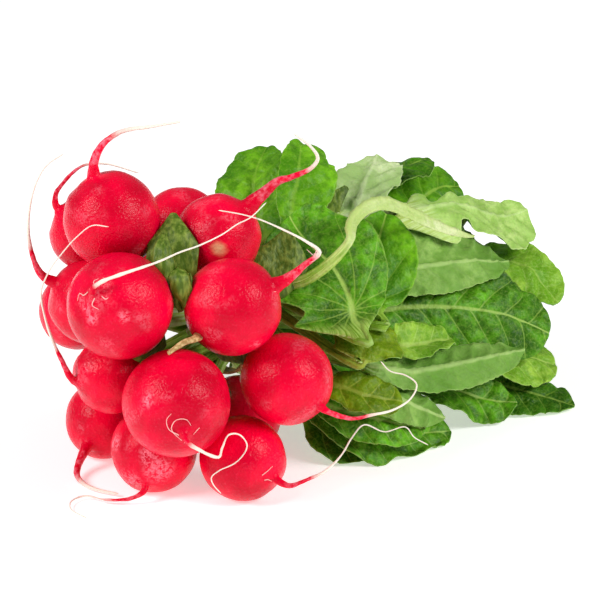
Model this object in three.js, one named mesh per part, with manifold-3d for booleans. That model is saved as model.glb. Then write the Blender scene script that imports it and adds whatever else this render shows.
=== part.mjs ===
// A bunch of small round red radishes lying on its side: the bulbs in a pile at -X with their thin taproots
// trailing, the stalks gathered in a tie, and the leaves heaped along +X. Millimetres, +Z up, floor at z = 0.
import * as THREE from "three";
import { mergeVertices } from "three/addons/utils/BufferGeometryUtils.js";
import Module from "manifold-3d";

const wasm = await Module();
wasm.setup();

// Driving dimensions
const CLEARANCE = 0.35; // air kept between neighbouring pieces
const NECK = new THREE.Vector3(8, -3, 43); // middle of the tie
const GATHER = new THREE.Vector3(-9, -3, 46); // where the crowns point
const TIE_WIDTH = 5;
const TIE_THICK = 1.2;
const TIE_BORE = 16.4; // inner radius
const TIE_SIDES = 28;
const SLOT_PITCH = 4.7; // spacing of the stalks in the tie
const STALK_WIDTH = 3.4;
const STALK_THICK = 2.9;
const BLADE_THICK = 0.7;
const RIB_THICK = 1.5; // blade and midrib together, at the blade's base
const BULB_SIDES = 12;
const ROOT_SIDES = 5;
const ROOT_TIP = 0.45; // radius of a taproot's thread-like end
const TOOTH = 0.07; // depth of the leaf margin's rounded teeth, as a share of the half width
const BLADE_WAVE = 0.09; // height of the blade's waves, as a share of the half width
const FLATTEN = 0.97; // a bulb's height over its width
const CROWN_PULL = 1.2; // how much a crown turns to the tie, against straight away from its root
const BULB_STEPS = 8;
const ROOT_STEP = 6.5; // spacing of the rings of a taproot
const ROOT_FLARE = 1.2; // extra radius of a taproot where it leaves the bulb
const FLARE_REACH = 2.5; // how fast that flare goes
const STALKS_APART = 2.2; // half the distance between the two stalks of a crown
const BULB_AIR = 1.6; // least distance from a bulb to the middle surface of a leaf
const FLOOR = 400; // side of the block that the bulbs' floor flats are cut with

const COLOUR = {
  bulb: 0xd8122e,
  leaf: 0x4c8c22,
  pale: 0x93b46c,
  yellow: 0x8fa52f,
  tie: 0xb9925a,
};

// Bulbs: middle, radius, root thickness at the bulb (radius), how far the thick part reaches, root path.
const BULBS = [
  { name: "radish_top_left", at: [-29, 4.3, 83], r: 15.1, girth: 2.1, taper: 17,
    root: [[-33, 8, 98], [-33, 7, 103], [-31, 5, 108], [-27, 1, 112], [-21, -6, 114], [-15, -13, 116]] },
  { name: "radish_left", at: [-42.5, -17.2, 63.7], r: 16.4, girth: 1.1, taper: 24,
    root: [[-57, -23, 74], [-55, -26, 77], [-49, -31, 80], [-40, -34, 82], [-34, -36, 84], [-27, -37, 85],
      [-19, -38, 87], [-13, -38, 89], [-8, -38, 90], [-1, -37, 93]] },
  { name: "radish_front", at: [-35.7, -36, 36], r: 16.5, girth: 1.7, taper: 22,
    root: [[-45, -53, 31], [-43, -55, 29], [-38, -59, 26], [-34, -56, 27], [-29, -53, 29], [-25, -53, 28],
      [-22, -53, 24], [-22, -52, 21], [-25, -51, 18], [-30, -49, 16], [-32, -48, 14], [-32, -49, 12],
      [-30, -50, 9]] },
  { name: "radish_upper", at: [-1.2, -12.9, 75.4], r: 13.6, girth: 3.4, taper: 14,
    root: [[10, -21, 89], [14, -25, 94], [17, -27, 95], [22, -31, 98], [24, -32, 101], [22, -31, 105],
      [18, -28, 109]] },
  { name: "radish_middle", at: [-13.4, -35.6, 61.7], r: 15, girth: 2.9, taper: 11,
    root: [[-1, -47, 71], [3, -51, 76], [6, -54, 80], [2, -52, 84], [-2, -47, 87], [-5, -40, 89],
      [-6, -32, 89], [-9, -24, 89]] },
  { name: "radish_right", at: [0.4, -44.9, 37.2], r: 14.4, girth: 1.7, taper: 22,
    root: [[3, -61, 31], [8, -67, 29], [15, -69, 29], [23, -70, 29], [30, -70, 31], [34, -68, 34],
      [33, -64, 36], [30, -60, 37], [28, -58, 40]] },
  { name: "radish_low_right", at: [-13, -39.7, 12.6], r: 13.4, girth: 1.6, taper: 24,
    root: [[-9, -57, 8], [-2, -59, 9], [5, -59, 10], [12, -58, 13], [17, -57, 17], [22, -57, 20],
      [28, -60, 17], [34, -63, 18], [37, -64, 14], [41, -66, 11]] },
  { name: "radish_low_front", at: [-30, -16.4, 12.8], r: 13.6, girth: 1.5, taper: 16,
    root: [[-41, -25, 4], [-45, -23, 2.2], [-50, -18, 1.6], [-53, -11, 1.4], [-58, -11, 1.2],
      [-62, -16, 1.1], [-62, -24, 1]] },
  { name: "radish_low_left", at: [-36.2, -3.6, 35.2], r: 12, girth: 1.6, taper: 26,
    root: [[-49, -1, 36], [-52, 1, 43], [-54, 3, 50], [-55, 5, 57], [-54, 8, 64], [-51, 7, 71], [-49, 4, 76],
      [-47, -2, 83], [-44, -6, 87], [-41, -10, 87]] },
  { name: "radish_floor_left", at: [-25.8, 15, 12], r: 12.8, girth: 2, taper: 17,
    root: [[-38, 9, 7], [-42, 7, 4], [-46, 3, 2.2], [-48, -4, 1.6], [-47, -10, 1.4], [-44, -16, 1.2]] },
  { name: "radish_far_left", at: [-31.3, 13.2, 54], r: 13.4, girth: 2, taper: 12,
    root: [[-45, 20, 64], [-47, 22, 70], [-47, 24, 77], [-45, 26, 84], [-41, 28, 91], [-36, 29, 96],
      [-30, 28, 99]] },
  { name: "radish_behind_top", at: [-19.5, 31, 69.6], r: 12.1, girth: 1.5, taper: 20,
    root: [[-27, 37, 79], [-27, 37, 83], [-24, 37, 86], [-21, 36, 89], [-17, 35, 91], [-11, 32, 91],
      [-3, 25, 88]] },
  { name: "radish_behind_left", at: [-21, 35, 42.5], r: 12.7, girth: 1.5, taper: 18,
    root: [[-14, 47, 38], [-8, 52, 32], [-3, 54, 24], [0, 55, 15], [2, 55, 6]] },
  { name: "radish_behind_upper", at: [6.4, 14.6, 70.4], r: 12.9, girth: 1.5, taper: 14,
    root: [[8, 28, 73], [9, 36, 69], [8, 43, 63], [4, 50, 56], [-2, 54, 48], [-6, 56, 40]] },
  { name: "radish_under_middle", at: [8.7, -11.6, 12.4], r: 13.2, girth: 1.5, taper: 14,
    root: [[20, -6, 6], [26, -3, 3], [31, -1, 1.6], [36, -2, 1.2]] },
  { name: "radish_floor_back", at: [-1, 27, 12.1], r: 13, girth: 1.6, taper: 18,
    root: [[8, 38, 7], [14, 44, 4.5], [20, 48, 2.2], [26, 50, 1.6], [30, 54, 1.2]] },
  { name: "radish_back", at: [6.5, 43.4, 42.7], r: 12.9, girth: 1.6, taper: 17,
    root: [[13, 57, 43], [14, 62, 38], [12, 66, 30], [8, 68, 21], [5, 67, 12], [4, 64, 5]] },
];

// Leaves from the floor and the heart of the heap outwards: half width of the blade (left and right where
// they differ), its least share of that at the base and at the tip, where its stalk is led, which way its
// upper side faces, fold of each half towards that side in degrees, and its midrib from base to tip.
const LEAVES = [
  { name: "core_low", wide: 18, face: [0, 0, 1], fold: [8, 8],
    rib: [[42, -4, 10], [66, -3, 8], [90, 0, 7], [112, 4, 6]] },
  { name: "back_low", wide: 17, face: [0, 0.2, 1], fold: [6, -6],
    rib: [[38, 22, 10], [62, 30, 7], [86, 33, 5], [108, 31, 4]] },
  { name: "under_left", wide: 9, face: [-0.4, -0.5, 0.8], fold: [5, 5],
    rib: [[26, -27, 12], [28, -33, 8], [32, -39, 5], [37, -45, 3]] },
  { name: "under_front", wide: 14, face: [-0.3, -0.5, 0.8], fold: [-10, -14],
    rib: [[26, -26, 14], [34, -34, 9], [45, -40, 6], [57, -45, 4], [68, -48, 3]] },
  { name: "under_right", wide: 11, face: [-0.2, -0.4, 0.9], fold: [-8, -12],
    rib: [[79, -25, 15], [91, -34, 11], [103, -43, 7], [111, -50, 4], [116, -57, 2]] },
  { name: "under_mid", wide: 10, face: [-0.4, -0.4, 0.8], fold: [-6, -10],
    rib: [[62, -26, 18], [72, -33, 13], [81, -38, 9], [89, -42, 5], [96, -45, 3]] },
  { name: "core_mid", wide: 20, face: [0, 0, 1], fold: [6, 10],
    rib: [[40, 2, 24], [64, 5, 22], [90, 8, 20], [114, 9, 16]] },
  { name: "back_mid", wide: 18, face: [0.1, 0.6, 0.8], fold: [-8, 4],
    rib: [[38, 24, 28], [60, 36, 22], [82, 40, 15], [102, 40, 9]] },
  { name: "back_end", wide: 15, face: [0.2, 0.2, 0.9], fold: [6, -12],
    rib: [[80, 12, 24], [100, 18, 22], [116, 18, 18], [130, 12, 12]] },
  { name: "low_right", wide: 14, tip: 0.7, face: [-0.2, -0.4, 0.9], fold: [-8, -10],
    rib: [[91, -27, 22], [101, -32, 18], [111, -38, 15], [120, -43, 11]] },
  { name: "core_high", wide: 18, tip: 0.7, face: [0, 0.1, 1], fold: [5, 5],
    rib: [[48, 5, 36], [76, 2, 37], [103, -3, 37], [130, -12, 37]] },
  { name: "back_high", wide: 17, face: [0, 0.7, 0.7], fold: [-6, -6],
    rib: [[36, 20, 46], [56, 32, 44], [76, 38, 36], [96, 38, 26]] },
  { name: "end_curl", wide: [11, 15], tip: 0.6, face: [-0.1, -0.5, 0.9], fold: [10, 14],
    rib: [[108, -6, 36], [119, -16, 36], [126, -28, 34], [128, -36, 30]] },
  { name: "long_green", wide: [16, 20], tip: 0.8, face: [-0.4, -0.6, 0.7], fold: [-4, -30],
    rib: [[49, -17, 35], [67, -24, 38], [83, -31, 37], [100, -38, 32], [114, -45, 24]] },
  { name: "top_round", wide: [14, 16], tip: 0.7, face: [-0.5, -0.7, 0.5], fold: [-14, -20],
    rib: [[89, 1, 57], [97, 4, 60], [105, 7, 62], [114, 9, 63], [124, 10, 61]] },
  { name: "long_pale", wide: [10, 22], base: 0.6, tip: 0.6, face: [0.4, 0.5, -0.7], fold: [6, 8],
    rib: [[50, -15, 46], [65, -20, 50], [79, -24, 50], [95, -27, 48], [110, -28, 42]] },
  { name: "tongue_pale", wide: [17, 11], base: 0.9, tip: 0.85, face: [0.5, 0.6, -0.6], fold: [6, 6],
    rib: [[92, -10, 54], [102, -11, 54], [112, -13, 54], [123, -13, 54], [134, -13, 55]] },
  { name: "back_top", wide: 13, base: 0.8, face: [0, 0.5, 0.85], fold: [-8, -5],
    rib: [[55, 15, 52], [75, 14, 52], [95, 10, 48], [112, 6, 47]] },
  { name: "top_pale", wide: [13, 13], base: 0.7, tip: 0.5, face: [0.4, 0.6, -0.7], fold: [8, 8],
    rib: [[67, -1, 62], [73, 3, 65], [80, 8, 69], [86, 12, 72], [92, 17, 76]] },
  { name: "stand_left", wide: [13, 12], base: 0.8, tip: 0.6, face: [-0.7, -0.4, 0.5], fold: [2, 6],
    rib: [[35, 8, 64], [38, 16, 70], [42, 22, 76], [48, 27, 80], [55, 31, 84]] },
  { name: "stand_right", wide: [7, 12], base: 0.5, tip: 0.8, face: [-0.5, -0.8, 0.4], fold: [6, 8],
    rib: [[35, -5, 68], [40, -1, 74], [46, 3, 79], [52, 9, 83], [57, 14, 86]] },
  { name: "recess_dark", wide: 9, face: [-0.5, -0.6, 0.6], fold: [4, 2],
    rib: [[35, -19, 27], [42, -23, 24], [48, -28, 21], [54, -33, 17]] },
  { name: "low_green", wide: 9, face: [-0.4, -0.5, 0.8], fold: [-8, -6],
    rib: [[22, -34, 21], [28, -40, 18], [36, -45, 15], [44, -49, 12], [53, -52, 9]] },
  { name: "fold_pale", wide: 7, face: [0.4, 0.6, -0.7], fold: [12, 12],
    rib: [[30, -37, 27], [36, -43, 25], [43, -48, 21], [51, -52, 16], [58, -55, 12]] },
  { name: "narrow_pale", wide: 8, face: [0.3, 0.5, -0.8], fold: [14, 8],
    rib: [[41, -36, 20], [51, -41, 21], [65, -46, 24], [81, -49, 25], [98, -50, 24]] },
  { name: "curl_small", wide: 7, face: [-0.4, -0.5, 0.8], fold: [20, 24],
    rib: [[50, -33, 24], [55, -37, 28], [61, -40, 31], [67, -41, 32], [73, -40, 29]] },
  { name: "low_yellow", wide: 7, face: [-0.5, -0.6, 0.7], fold: [-6, 8],
    rib: [[21, -39, 29], [25, -45, 28], [29, -49, 26], [35, -52, 24], [41, -54, 22]] },
  { name: "round_yellow", wide: [13, 12], base: [0.7, 0.3], tip: 0.7,
    face: [-0.6, -0.7, 0.4], fold: [-10, -10],
    way: [26, -50, 37], rib: [[28, -49, 39], [30, -48, 42], [33, -47, 44], [36, -45, 45], [40, -43, 47]] },
  { name: "face_bright", wide: [9, 14], base: [0.5, 0.2], tip: 0.6, face: [-0.4, -0.85, 0.3], fold: [8, 10],
    way: [38, -47, 43], rib: [[39, -38, 45], [42, -35, 50], [47, -32, 57], [53, -28, 66], [61, -23, 73]] },
  { name: "wide_veined", wide: [22, 17], base: [0.95, 0.3], tip: 0.8, way: [27, -52, 43],
    face: [-0.1, -0.85, 0.5], fold: [4, 0],
    rib: [[29, -42, 45], [31, -37, 49], [32, -30, 56], [31, -21, 64], [30, -11, 71]] },
  { name: "hood_stalked", wide: [4, 2.4], way: [18, -31, 58], face: [0, 0, -1], fold: [45, 60],
    rib: [[29, -40, 72], [33, -36, 77], [39, -34, 81], [47, -33, 83], [58, -34, 79], [69, -37, 72],
      [82, -42, 65]] },
];
const PALE = ["long_pale", "tongue_pale", "top_pale", "narrow_pale", "fold_pale", "hood_stalked"];
const YELLOW = ["round_yellow", "low_yellow"];

const vec = (p) => new THREE.Vector3(p[0], p[1], p[2]);
const unit = (a, b) => new THREE.Vector3().subVectors(b, a).normalize();
const offset = (point, way, distance) => point.clone().addScaledVector(way, distance);

// Closed skin through a row of rings with equal counts of points, each end closed by a zigzag of triangles.
function loft(rings) {
  const n = rings[0].length;
  const points = rings.flat();
  const faces = [];
  for (let i = 0; i + 1 < rings.length; i++) {
    for (let j = 0; j < n; j++) {
      const a = i * n + j;
      const b = i * n + ((j + 1) % n);
      faces.push([a, b, b + n], [a, b + n, a + n]);
    }
  }
  const last = (rings.length - 1) * n;
  for (let i = 0, j = n - 1; i + 1 < j; i++, j--) {
    faces.push([j, i + 1, i], [last + j, last + i, last + i + 1]);
    if (i + 1 < j - 1) faces.push([j, j - 1, i + 1], [last + j, last + i + 1, last + j - 1]);
  }
  const inward = volumeOf(points, faces) < 0;
  const index = faces.flatMap(([a, b, c]) => (inward ? [a, c, b] : [a, b, c]));
  return new THREE.BufferGeometry().setFromPoints(points).setIndex(index);
}

function volumeOf(points, faces) {
  const normal = new THREE.Vector3();
  return faces.reduce((sum, [a, b, c]) => sum + points[a].dot(normal.crossVectors(points[b], points[c])), 0);
}

// A closed skin as a solid, and a solid as the geometry of a mesh.
function toSolid(geometry) {
  const bare = geometry.clone();
  bare.deleteAttribute("normal");
  bare.deleteAttribute("uv");
  const merged = mergeVertices(bare, 1e-4);
  const vertProperties = new Float32Array(merged.attributes.position.array);
  const triVerts = new Uint32Array(merged.index.array);
  return new wasm.Manifold(new wasm.Mesh({ numProp: 3, vertProperties, triVerts }));
}

function toGeometry(solid) {
  const mesh = solid.getMesh();
  return new THREE.BufferGeometry()
    .setAttribute("position", new THREE.BufferAttribute(new Float32Array(mesh.vertProperties), 3))
    .setIndex(new THREE.BufferAttribute(new Uint32Array(mesh.triVerts), 1));
}

function biggest(solid) {
  return solid.decompose().reduce((best, piece) => (piece.volume() > best.volume() ? piece : best));
}

// Directions square to `along`, starting near `near`.
function squareTo(along, near) {
  return near.clone().addScaledVector(along, -near.dot(along)).normalize();
}

// Frames carried along a row of points without twist, from the frame `first` at index `start`.
function carried(points, start, first) {
  const last = points.length - 1;
  const tangents = points.map((_, i) => unit(points[Math.max(i - 1, 0)], points[Math.min(i + 1, last)]));
  const faces = [];
  faces[start] = squareTo(tangents[start], first);
  for (let i = start + 1; i < points.length; i++) faces[i] = squareTo(tangents[i], faces[i - 1]);
  for (let i = start - 1; i >= 0; i--) faces[i] = squareTo(tangents[i], faces[i + 1]);
  return { tangents, faces };
}

const ring = (middle, a, b, radius, sides) =>
  Array.from({ length: sides }, (_, j) => {
    const turn = (2 * Math.PI * j) / sides;
    return offset(middle, a, radius * Math.cos(turn)).addScaledVector(b, radius * Math.sin(turn));
  });

// Bulb: a slightly flattened ball about the line from crown to root, drawn out a little at the root.
function crownWay(bulb) {
  const middle = vec(bulb.at);
  const rootWay = unit(middle, vec(bulb.root[0]));
  return unit(middle, GATHER).multiplyScalar(CROWN_PULL).sub(rootWay).normalize();
}

function bulbSkin(bulb) {
  const middle = vec(bulb.at);
  const axis = crownWay(bulb);
  const across = squareTo(axis, new THREE.Vector3(0.3, 0.2, 1));
  const side = new THREE.Vector3().crossVectors(axis, across);
  const rings = [];
  for (let i = 0; i <= BULB_STEPS; i++) {
    const t = Math.PI * (0.06 + (0.88 * i) / BULB_STEPS);
    const centre = middle.clone().addScaledVector(axis, bulb.r * FLATTEN * Math.cos(t));
    rings.push(ring(centre, across, side, bulb.r * Math.sin(t), BULB_SIDES));
  }
  return loft(rings);
}

// Taproot: from inside the bulb along its path, flared where it leaves the bulb, thread-like at the end.
function rootSkin(bulb) {
  const middle = vec(bulb.at);
  const start = middle.clone().addScaledVector(unit(middle, vec(bulb.root[0])), bulb.r * 0.8);
  const path = new THREE.CatmullRomCurve3([start, ...bulb.root.map(vec)], false, "centripetal");
  const length = path.getLength();
  const steps = Math.max(7, Math.round(length / ROOT_STEP));
  const points = path.getSpacedPoints(steps);
  const { tangents, faces } = carried(points, 0, new THREE.Vector3(0.2, 0.9, 0.3));
  const rings = points.map((p, i) => {
    const run = (length * i) / steps;
    const flare = ROOT_FLARE * Math.exp(-run / FLARE_REACH);
    const radius = ROOT_TIP + (bulb.girth - ROOT_TIP) * Math.exp(-run / bulb.taper) + flare;
    return ring(p, faces[i], new THREE.Vector3().crossVectors(tangents[i], faces[i]), radius, ROOT_SIDES);
  });
  return loft(rings);
}

function radish(bulb) {
  const floor = new THREE.BoxGeometry(FLOOR, FLOOR, FLOOR).translate(0, 0, -FLOOR / 2);
  const solid = toSolid(bulbSkin(bulb)).add(toSolid(rootSkin(bulb))).subtract(toSolid(floor));
  return toGeometry(biggest(solid));
}

// Places of the stalks in the tie: one ring of a hexagonal packing.
function slotsOf(ringNumber) {
  if (ringNumber === 0) return [[0, 0]];
  const slots = [];
  for (let side = 0; side < 6; side++) {
    for (let k = 0; k < ringNumber; k++) {
      const a = (Math.PI / 3) * side;
      const b = a + (2 * Math.PI) / 3;
      const y = ringNumber * Math.cos(a) + k * Math.cos(b);
      const z = ringNumber * Math.sin(a) + k * Math.sin(b);
      slots.push([y * SLOT_PITCH, z * SLOT_PITCH]);
    }
  }
  return slots;
}

const bearing = ([y, z]) => Math.atan2(z, y);
const between = (a, b) => Math.abs(Math.atan2(Math.sin(a - b), Math.cos(a - b)));

// The slots in use, ring by ring, each sorted by direction; the last ring is partly filled, evenly.
const SLOT_RINGS = [];
for (let left = LEAVES.length; left > 0; ) {
  const all = slotsOf(SLOT_RINGS.length).sort((a, b) => bearing(a) - bearing(b));
  const count = Math.min(all.length, left);
  SLOT_RINGS.push(Array.from({ length: count }, (_, k) => all[Math.floor((k * all.length) / count)]));
  left -= count;
}

// Shares out the slots: what leads furthest sideways gets the outer rings, each in the direction it leads.
function shareSlots(items) {
  const order = items.map(({ y, z, reach }, i) => {
    return { i, toward: bearing([y, z]), spread: Math.hypot(y, z) / reach };
  });
  order.sort((a, b) => a.spread - b.spread);
  const shared = [];
  for (const slots of SLOT_RINGS) {
    const group = order.splice(0, slots.length).sort((a, b) => a.toward - b.toward);
    let best = { cost: Infinity };
    slots.forEach((_, shift) => {
      const dealt = group.map((_, k) => slots[(k + shift) % slots.length]);
      const cost = group.reduce((sum, g, k) => sum + between(g.toward, bearing(dealt[k])), 0);
      if (cost < best.cost) best = { cost, dealt };
    });
    group.forEach((g, k) => (shared[g.i] = best.dealt[k]));
  }
  return shared;
}

// Each crown sends up one or two stalks; crowns and leaves meet in the slots of the tie.
const STEMS = LEAVES.map((_, i) => {
  const bulb = BULBS[i % BULBS.length];
  const side = i < BULBS.length ? 1 : -1;
  const way = crownWay(bulb);
  const lateral = squareTo(way, new THREE.Vector3(0.5, 1, 0.2));
  const foot = vec(bulb.at).addScaledVector(way, bulb.r * FLATTEN + 2 * CLEARANCE);
  if (LEAVES.length > BULBS.length + (i % BULBS.length)) foot.addScaledVector(lateral, side * STALKS_APART);
  return { foot, way };
});

function stemItem(stem) {
  const d = stem.foot.clone().sub(NECK);
  return { y: d.y, z: d.z, reach: Math.max(8, 12 - d.x) };
}

function leafItem(leaf) {
  const d = vec(leaf.rib[0]).sub(NECK);
  return { y: d.y, z: d.z, reach: Math.max(8, d.x) };
}

const stemSlots = shareSlots(STEMS.map(stemItem));
const leafSlots = shareSlots(LEAVES.map(leafItem));
const stemOf = leafSlots.map((slot) => STEMS[stemSlots.indexOf(slot)]);

// Leaf: five lines of points from stalk foot to tip (edge, half, midrib, half, edge).
const STALK_ROWS = 5;
const BLADE_ROWS = 10;
const NECK_ROWS = 4; // rows from the crown to just past the tie, which keep their place
const ACROSS = [-1, -0.5, 0, 0.5, 1];

// Share of the blade's length at a row: the rows are closer towards the tip.
const bladeRun = (row) => 1 - Math.pow(1 - row / (BLADE_ROWS - 1), 1.3);

// Half width along the blade, as a share of its widest.
function bladeHalf(u, base, tip) {
  const swell = Math.sin(Math.PI * Math.pow(0.05 + 0.95 * Math.min(u, 0.995), 1.1));
  return Math.max(0.2 + 0.8 * Math.pow(swell, 0.6), base * (1 - 2 * u), tip * (2 * u - 1));
}

function leafLines(leaf, k) {
  const [sy, sz] = leafSlots[k];
  const stem = stemOf[k];
  const slot = (x) => new THREE.Vector3(NECK.x + x, NECK.y + sy, NECK.z + sz);
  const neck = stem.foot.clone().addScaledVector(stem.way, 3);
  const stalk = new THREE.CatmullRomCurve3([stem.foot, neck, slot(-5), slot(5), vec(leaf.rib[0]),
    vec(leaf.rib[1])], false, "centripetal");
  const blade = new THREE.CatmullRomCurve3(leaf.rib.map(vec), false, "centripetal");
  const way = leaf.way ? vec(leaf.way) : stalk.getPoint(0.71);
  const middle = [stem.foot, stalk.getPoint(0.24), slot(-5), slot(5), way];
  for (let i = 0; i < BLADE_ROWS; i++) middle.push(blade.getPointAt(bladeRun(i)));
  const { tangents, faces } = carried(middle, STALK_ROWS + 3, vec(leaf.face));
  return middle.map((p, i) => {
    const u = i < STALK_ROWS ? -1 : bladeRun(i - STALK_ROWS);
    const side = new THREE.Vector3().crossVectors(tangents[i], faces[i]);
    const tooth = i % 2 ? 1 + TOOTH : 1 - TOOTH;
    const halves = [leaf.wide].flat();
    const bases = [leaf.base ?? 0].flat();
    const open = u < 0 ? 0 : Math.min(1, u * 4);
    return ACROSS.map((v) => {
      const widest = halves.at(v > 0 ? -1 : 0);
      const base = bases.at(v > 0 ? -1 : 0);
      const half = Math.max(STALK_WIDTH / 2, u < 0 ? 0 : widest * bladeHalf(u, base, leaf.tip ?? 0) * tooth);
      const wave = u < 0 ? 0 : BLADE_WAVE * half * Math.sin(7.5 * u + 2.1 * k);
      const bend = THREE.MathUtils.degToRad(leaf.fold[v < 0 ? 0 : 1]) * open;
      const away = half * Math.abs(v);
      const lift = away * Math.sin(bend) * (0.6 + 0.4 * Math.abs(v)) + wave * v * Math.abs(v);
      return offset(p, side, Math.sign(v) * away * Math.cos(bend)).addScaledVector(faces[i], lift);
    });
  });
}

// The heap: how far out from a line under it each direction is filled. A leaf that is laid on is moved
// outwards until it lies clear on what is there, and its moves are spread so that it stays smooth.
const HEAP = { y: -8, z: -22, x0: -60, x1: 160, dx: 2, turn: Math.PI / 90 };
const HEAP_COLUMNS = Math.ceil((HEAP.x1 - HEAP.x0) / HEAP.dx);
const HEAP_ROWS = Math.ceil(Math.PI / HEAP.turn);
const heap = new Float32Array(HEAP_COLUMNS * HEAP_ROWS);
const HEAP_FINE = 5; // points that fill the heap between two rows or two lines of a leaf
const LAY_GAP = 0.8; // air between two leaves where the later one is laid on
const SMOOTH_PASSES = 6;

function heapPlace(p) {
  const y = p.y - HEAP.y;
  const z = p.z - HEAP.z;
  const column = Math.floor((p.x - HEAP.x0) / HEAP.dx);
  const row = Math.floor(Math.atan2(z, -y) / HEAP.turn);
  return { column, row, out: Math.hypot(y, z) };
}

function heapTop(p, reach) {
  const { column, row } = heapPlace(p);
  let top = 0;
  for (let c = Math.max(0, column - reach); c <= Math.min(HEAP_COLUMNS - 1, column + reach); c++) {
    for (let r = Math.max(0, row - reach); r <= Math.min(HEAP_ROWS - 1, row + reach); r++) {
      top = Math.max(top, heap[r * HEAP_COLUMNS + c]);
    }
  }
  return top;
}

function heapAdd(lines) {
  for (let i = NECK_ROWS - 1; i + 1 < lines.length; i++) {
    for (let j = 0; j + 1 < ACROSS.length; j++) {
      for (let a = 0; a <= HEAP_FINE; a++) {
        for (let b = 0; b <= HEAP_FINE; b++) {
          const p = lines[i][j].clone().lerp(lines[i][j + 1], b / HEAP_FINE);
          const next = lines[i + 1][j].clone().lerp(lines[i + 1][j + 1], b / HEAP_FINE);
          p.lerp(next, a / HEAP_FINE);
          const { column, row, out } = heapPlace(p);
          const cell = row * HEAP_COLUMNS + column;
          const thick = i < STALK_ROWS - 1 ? STALK_THICK / 2 : RIB_THICK / 2;
          if (row >= 0 && row < HEAP_ROWS) heap[cell] = Math.max(heap[cell], out + thick);
        }
      }
    }
  }
}

function layOn(lines) {
  const rows = lines.length;
  const columns = ACROSS.length;
  const need = lines.map((line, i) => line.map((p) => {
    if (i < NECK_ROWS) return 0;
    const thick = i < STALK_ROWS ? STALK_THICK / 2 : RIB_THICK / 2;
    const reach = i < STALK_ROWS + 1 ? 1 : 2;
    return Math.max(0, heapTop(p, reach) + thick + LAY_GAP - heapPlace(p).out);
  }));
  let push = need.map((line) => line.slice());
  for (let pass = 0; pass < SMOOTH_PASSES; pass++) {
    push = push.map((line, i) => line.map((_, j) => {
      if (i < NECK_ROWS) return 0;
      const around = [push[i - 1][j], push[Math.min(i + 1, rows - 1)][j], line[Math.max(j - 1, 0)],
        line[Math.min(j + 1, columns - 1)]];
      const mean = around.reduce((a, b) => a + b) / 4;
      return Math.max(need[i][j], mean);
    }));
  }
  return lines.map((line, i) => line.map((p, j) => {
    const out = new THREE.Vector3(0, p.y - HEAP.y, p.z - HEAP.z).normalize();
    const moved = p.clone().addScaledVector(out, push[i][j]);
    moved.z = Math.max(moved.z, BLADE_THICK);
    if (i < NECK_ROWS) return moved;
    BULBS.forEach((bulb) => {
      const middle = vec(bulb.at);
      const short = bulb.r + BULB_AIR - moved.distanceTo(middle);
      if (short > 0) moved.addScaledVector(unit(middle, moved), short);
    });
    return moved;
  }));
}

// The two faces of a leaf on either side of its lines.
function leafRings(lines, extra) {
  return lines.map((line, i) => {
    const u = (i - STALK_ROWS) / (BLADE_ROWS - 1);
    const before = lines[Math.max(i - 1, 0)];
    const after = lines[Math.min(i + 1, lines.length - 1)];
    const top = [];
    const under = [];
    ACROSS.forEach((v, j) => {
      const along = unit(before[j], after[j]);
      const over = unit(line[Math.max(j - 1, 0)], line[Math.min(j + 1, ACROSS.length - 1)]);
      const normal = new THREE.Vector3().crossVectors(over, along).normalize();
      const round = Math.sqrt(Math.max(0, 1 - 0.9 * v * v));
      const stalk = STALK_THICK * round;
      const rib = v === 0 ? RIB_THICK - (RIB_THICK - BLADE_THICK) * Math.max(0, u) : BLADE_THICK;
      const mix = Math.min(1, Math.max(0, u * 5 + 0.6));
      const thick = (u < 0 ? stalk * (1 - mix) + rib * mix : rib) + extra;
      const place = line[j].clone().addScaledVector(over, (Math.trunc(v) * extra) / 2);
      top.push(place.clone().addScaledVector(normal, thick / 2));
      under.push(place.clone().addScaledVector(normal, -thick / 2));
    });
    return [...top, ...under.reverse()];
  });
}

// The tie: a plain band round the stalks.
function tieBand() {
  const outer = TIE_BORE + TIE_THICK;
  const half = TIE_WIDTH / 2;
  const profile = [[TIE_BORE, -half], [outer, -half], [outer, half], [TIE_BORE, half], [TIE_BORE, -half]];
  const band = new THREE.LatheGeometry(profile.map(([x, y]) => new THREE.Vector2(x, y)), TIE_SIDES);
  return toGeometry(toSolid(band.rotateZ(-Math.PI / 2).translate(NECK.x, NECK.y, NECK.z)));
}

function addPiece(group, name, geometry, colour, roughness) {
  const material = new THREE.MeshStandardMaterial({ color: colour, roughness, metalness: 0 });
  const mesh = new THREE.Mesh(geometry, material);
  mesh.name = name;
  group.add(mesh);
}

// Where two leaves would still cross, the later one is cut clear of the earlier one.
function cutClear(leaves) {
  leaves.forEach((leaf, k) => {
    leaves.slice(0, k).forEach((other) => {
      if (leaf.solid.intersect(other.grown).isEmpty()) return;
      leaf.solid = biggest(leaf.solid.subtract(other.grown));
    });
  });
}

const bunch = new THREE.Group();
BULBS.forEach((bulb) => addPiece(bunch, bulb.name, radish(bulb), COLOUR.bulb, 0.35));
const leaves = LEAVES.map((leaf, k) => {
  const lines = layOn(leafLines(leaf, k));
  heapAdd(lines);
  const aged = YELLOW.includes(leaf.name) ? COLOUR.yellow : COLOUR.leaf;
  const colour = PALE.includes(leaf.name) ? COLOUR.pale : aged;
  const solid = toSolid(loft(leafRings(lines, 0)));
  const grown = toSolid(loft(leafRings(lines, 2 * CLEARANCE)));
  return { name: "leaf_" + leaf.name, colour, solid, grown };
});
cutClear(leaves);
leaves.forEach((leaf) => addPiece(bunch, leaf.name, toGeometry(leaf.solid), leaf.colour, 0.6));
addPiece(bunch, "tie", tieBand(), COLOUR.tie, 0.7);

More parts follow.
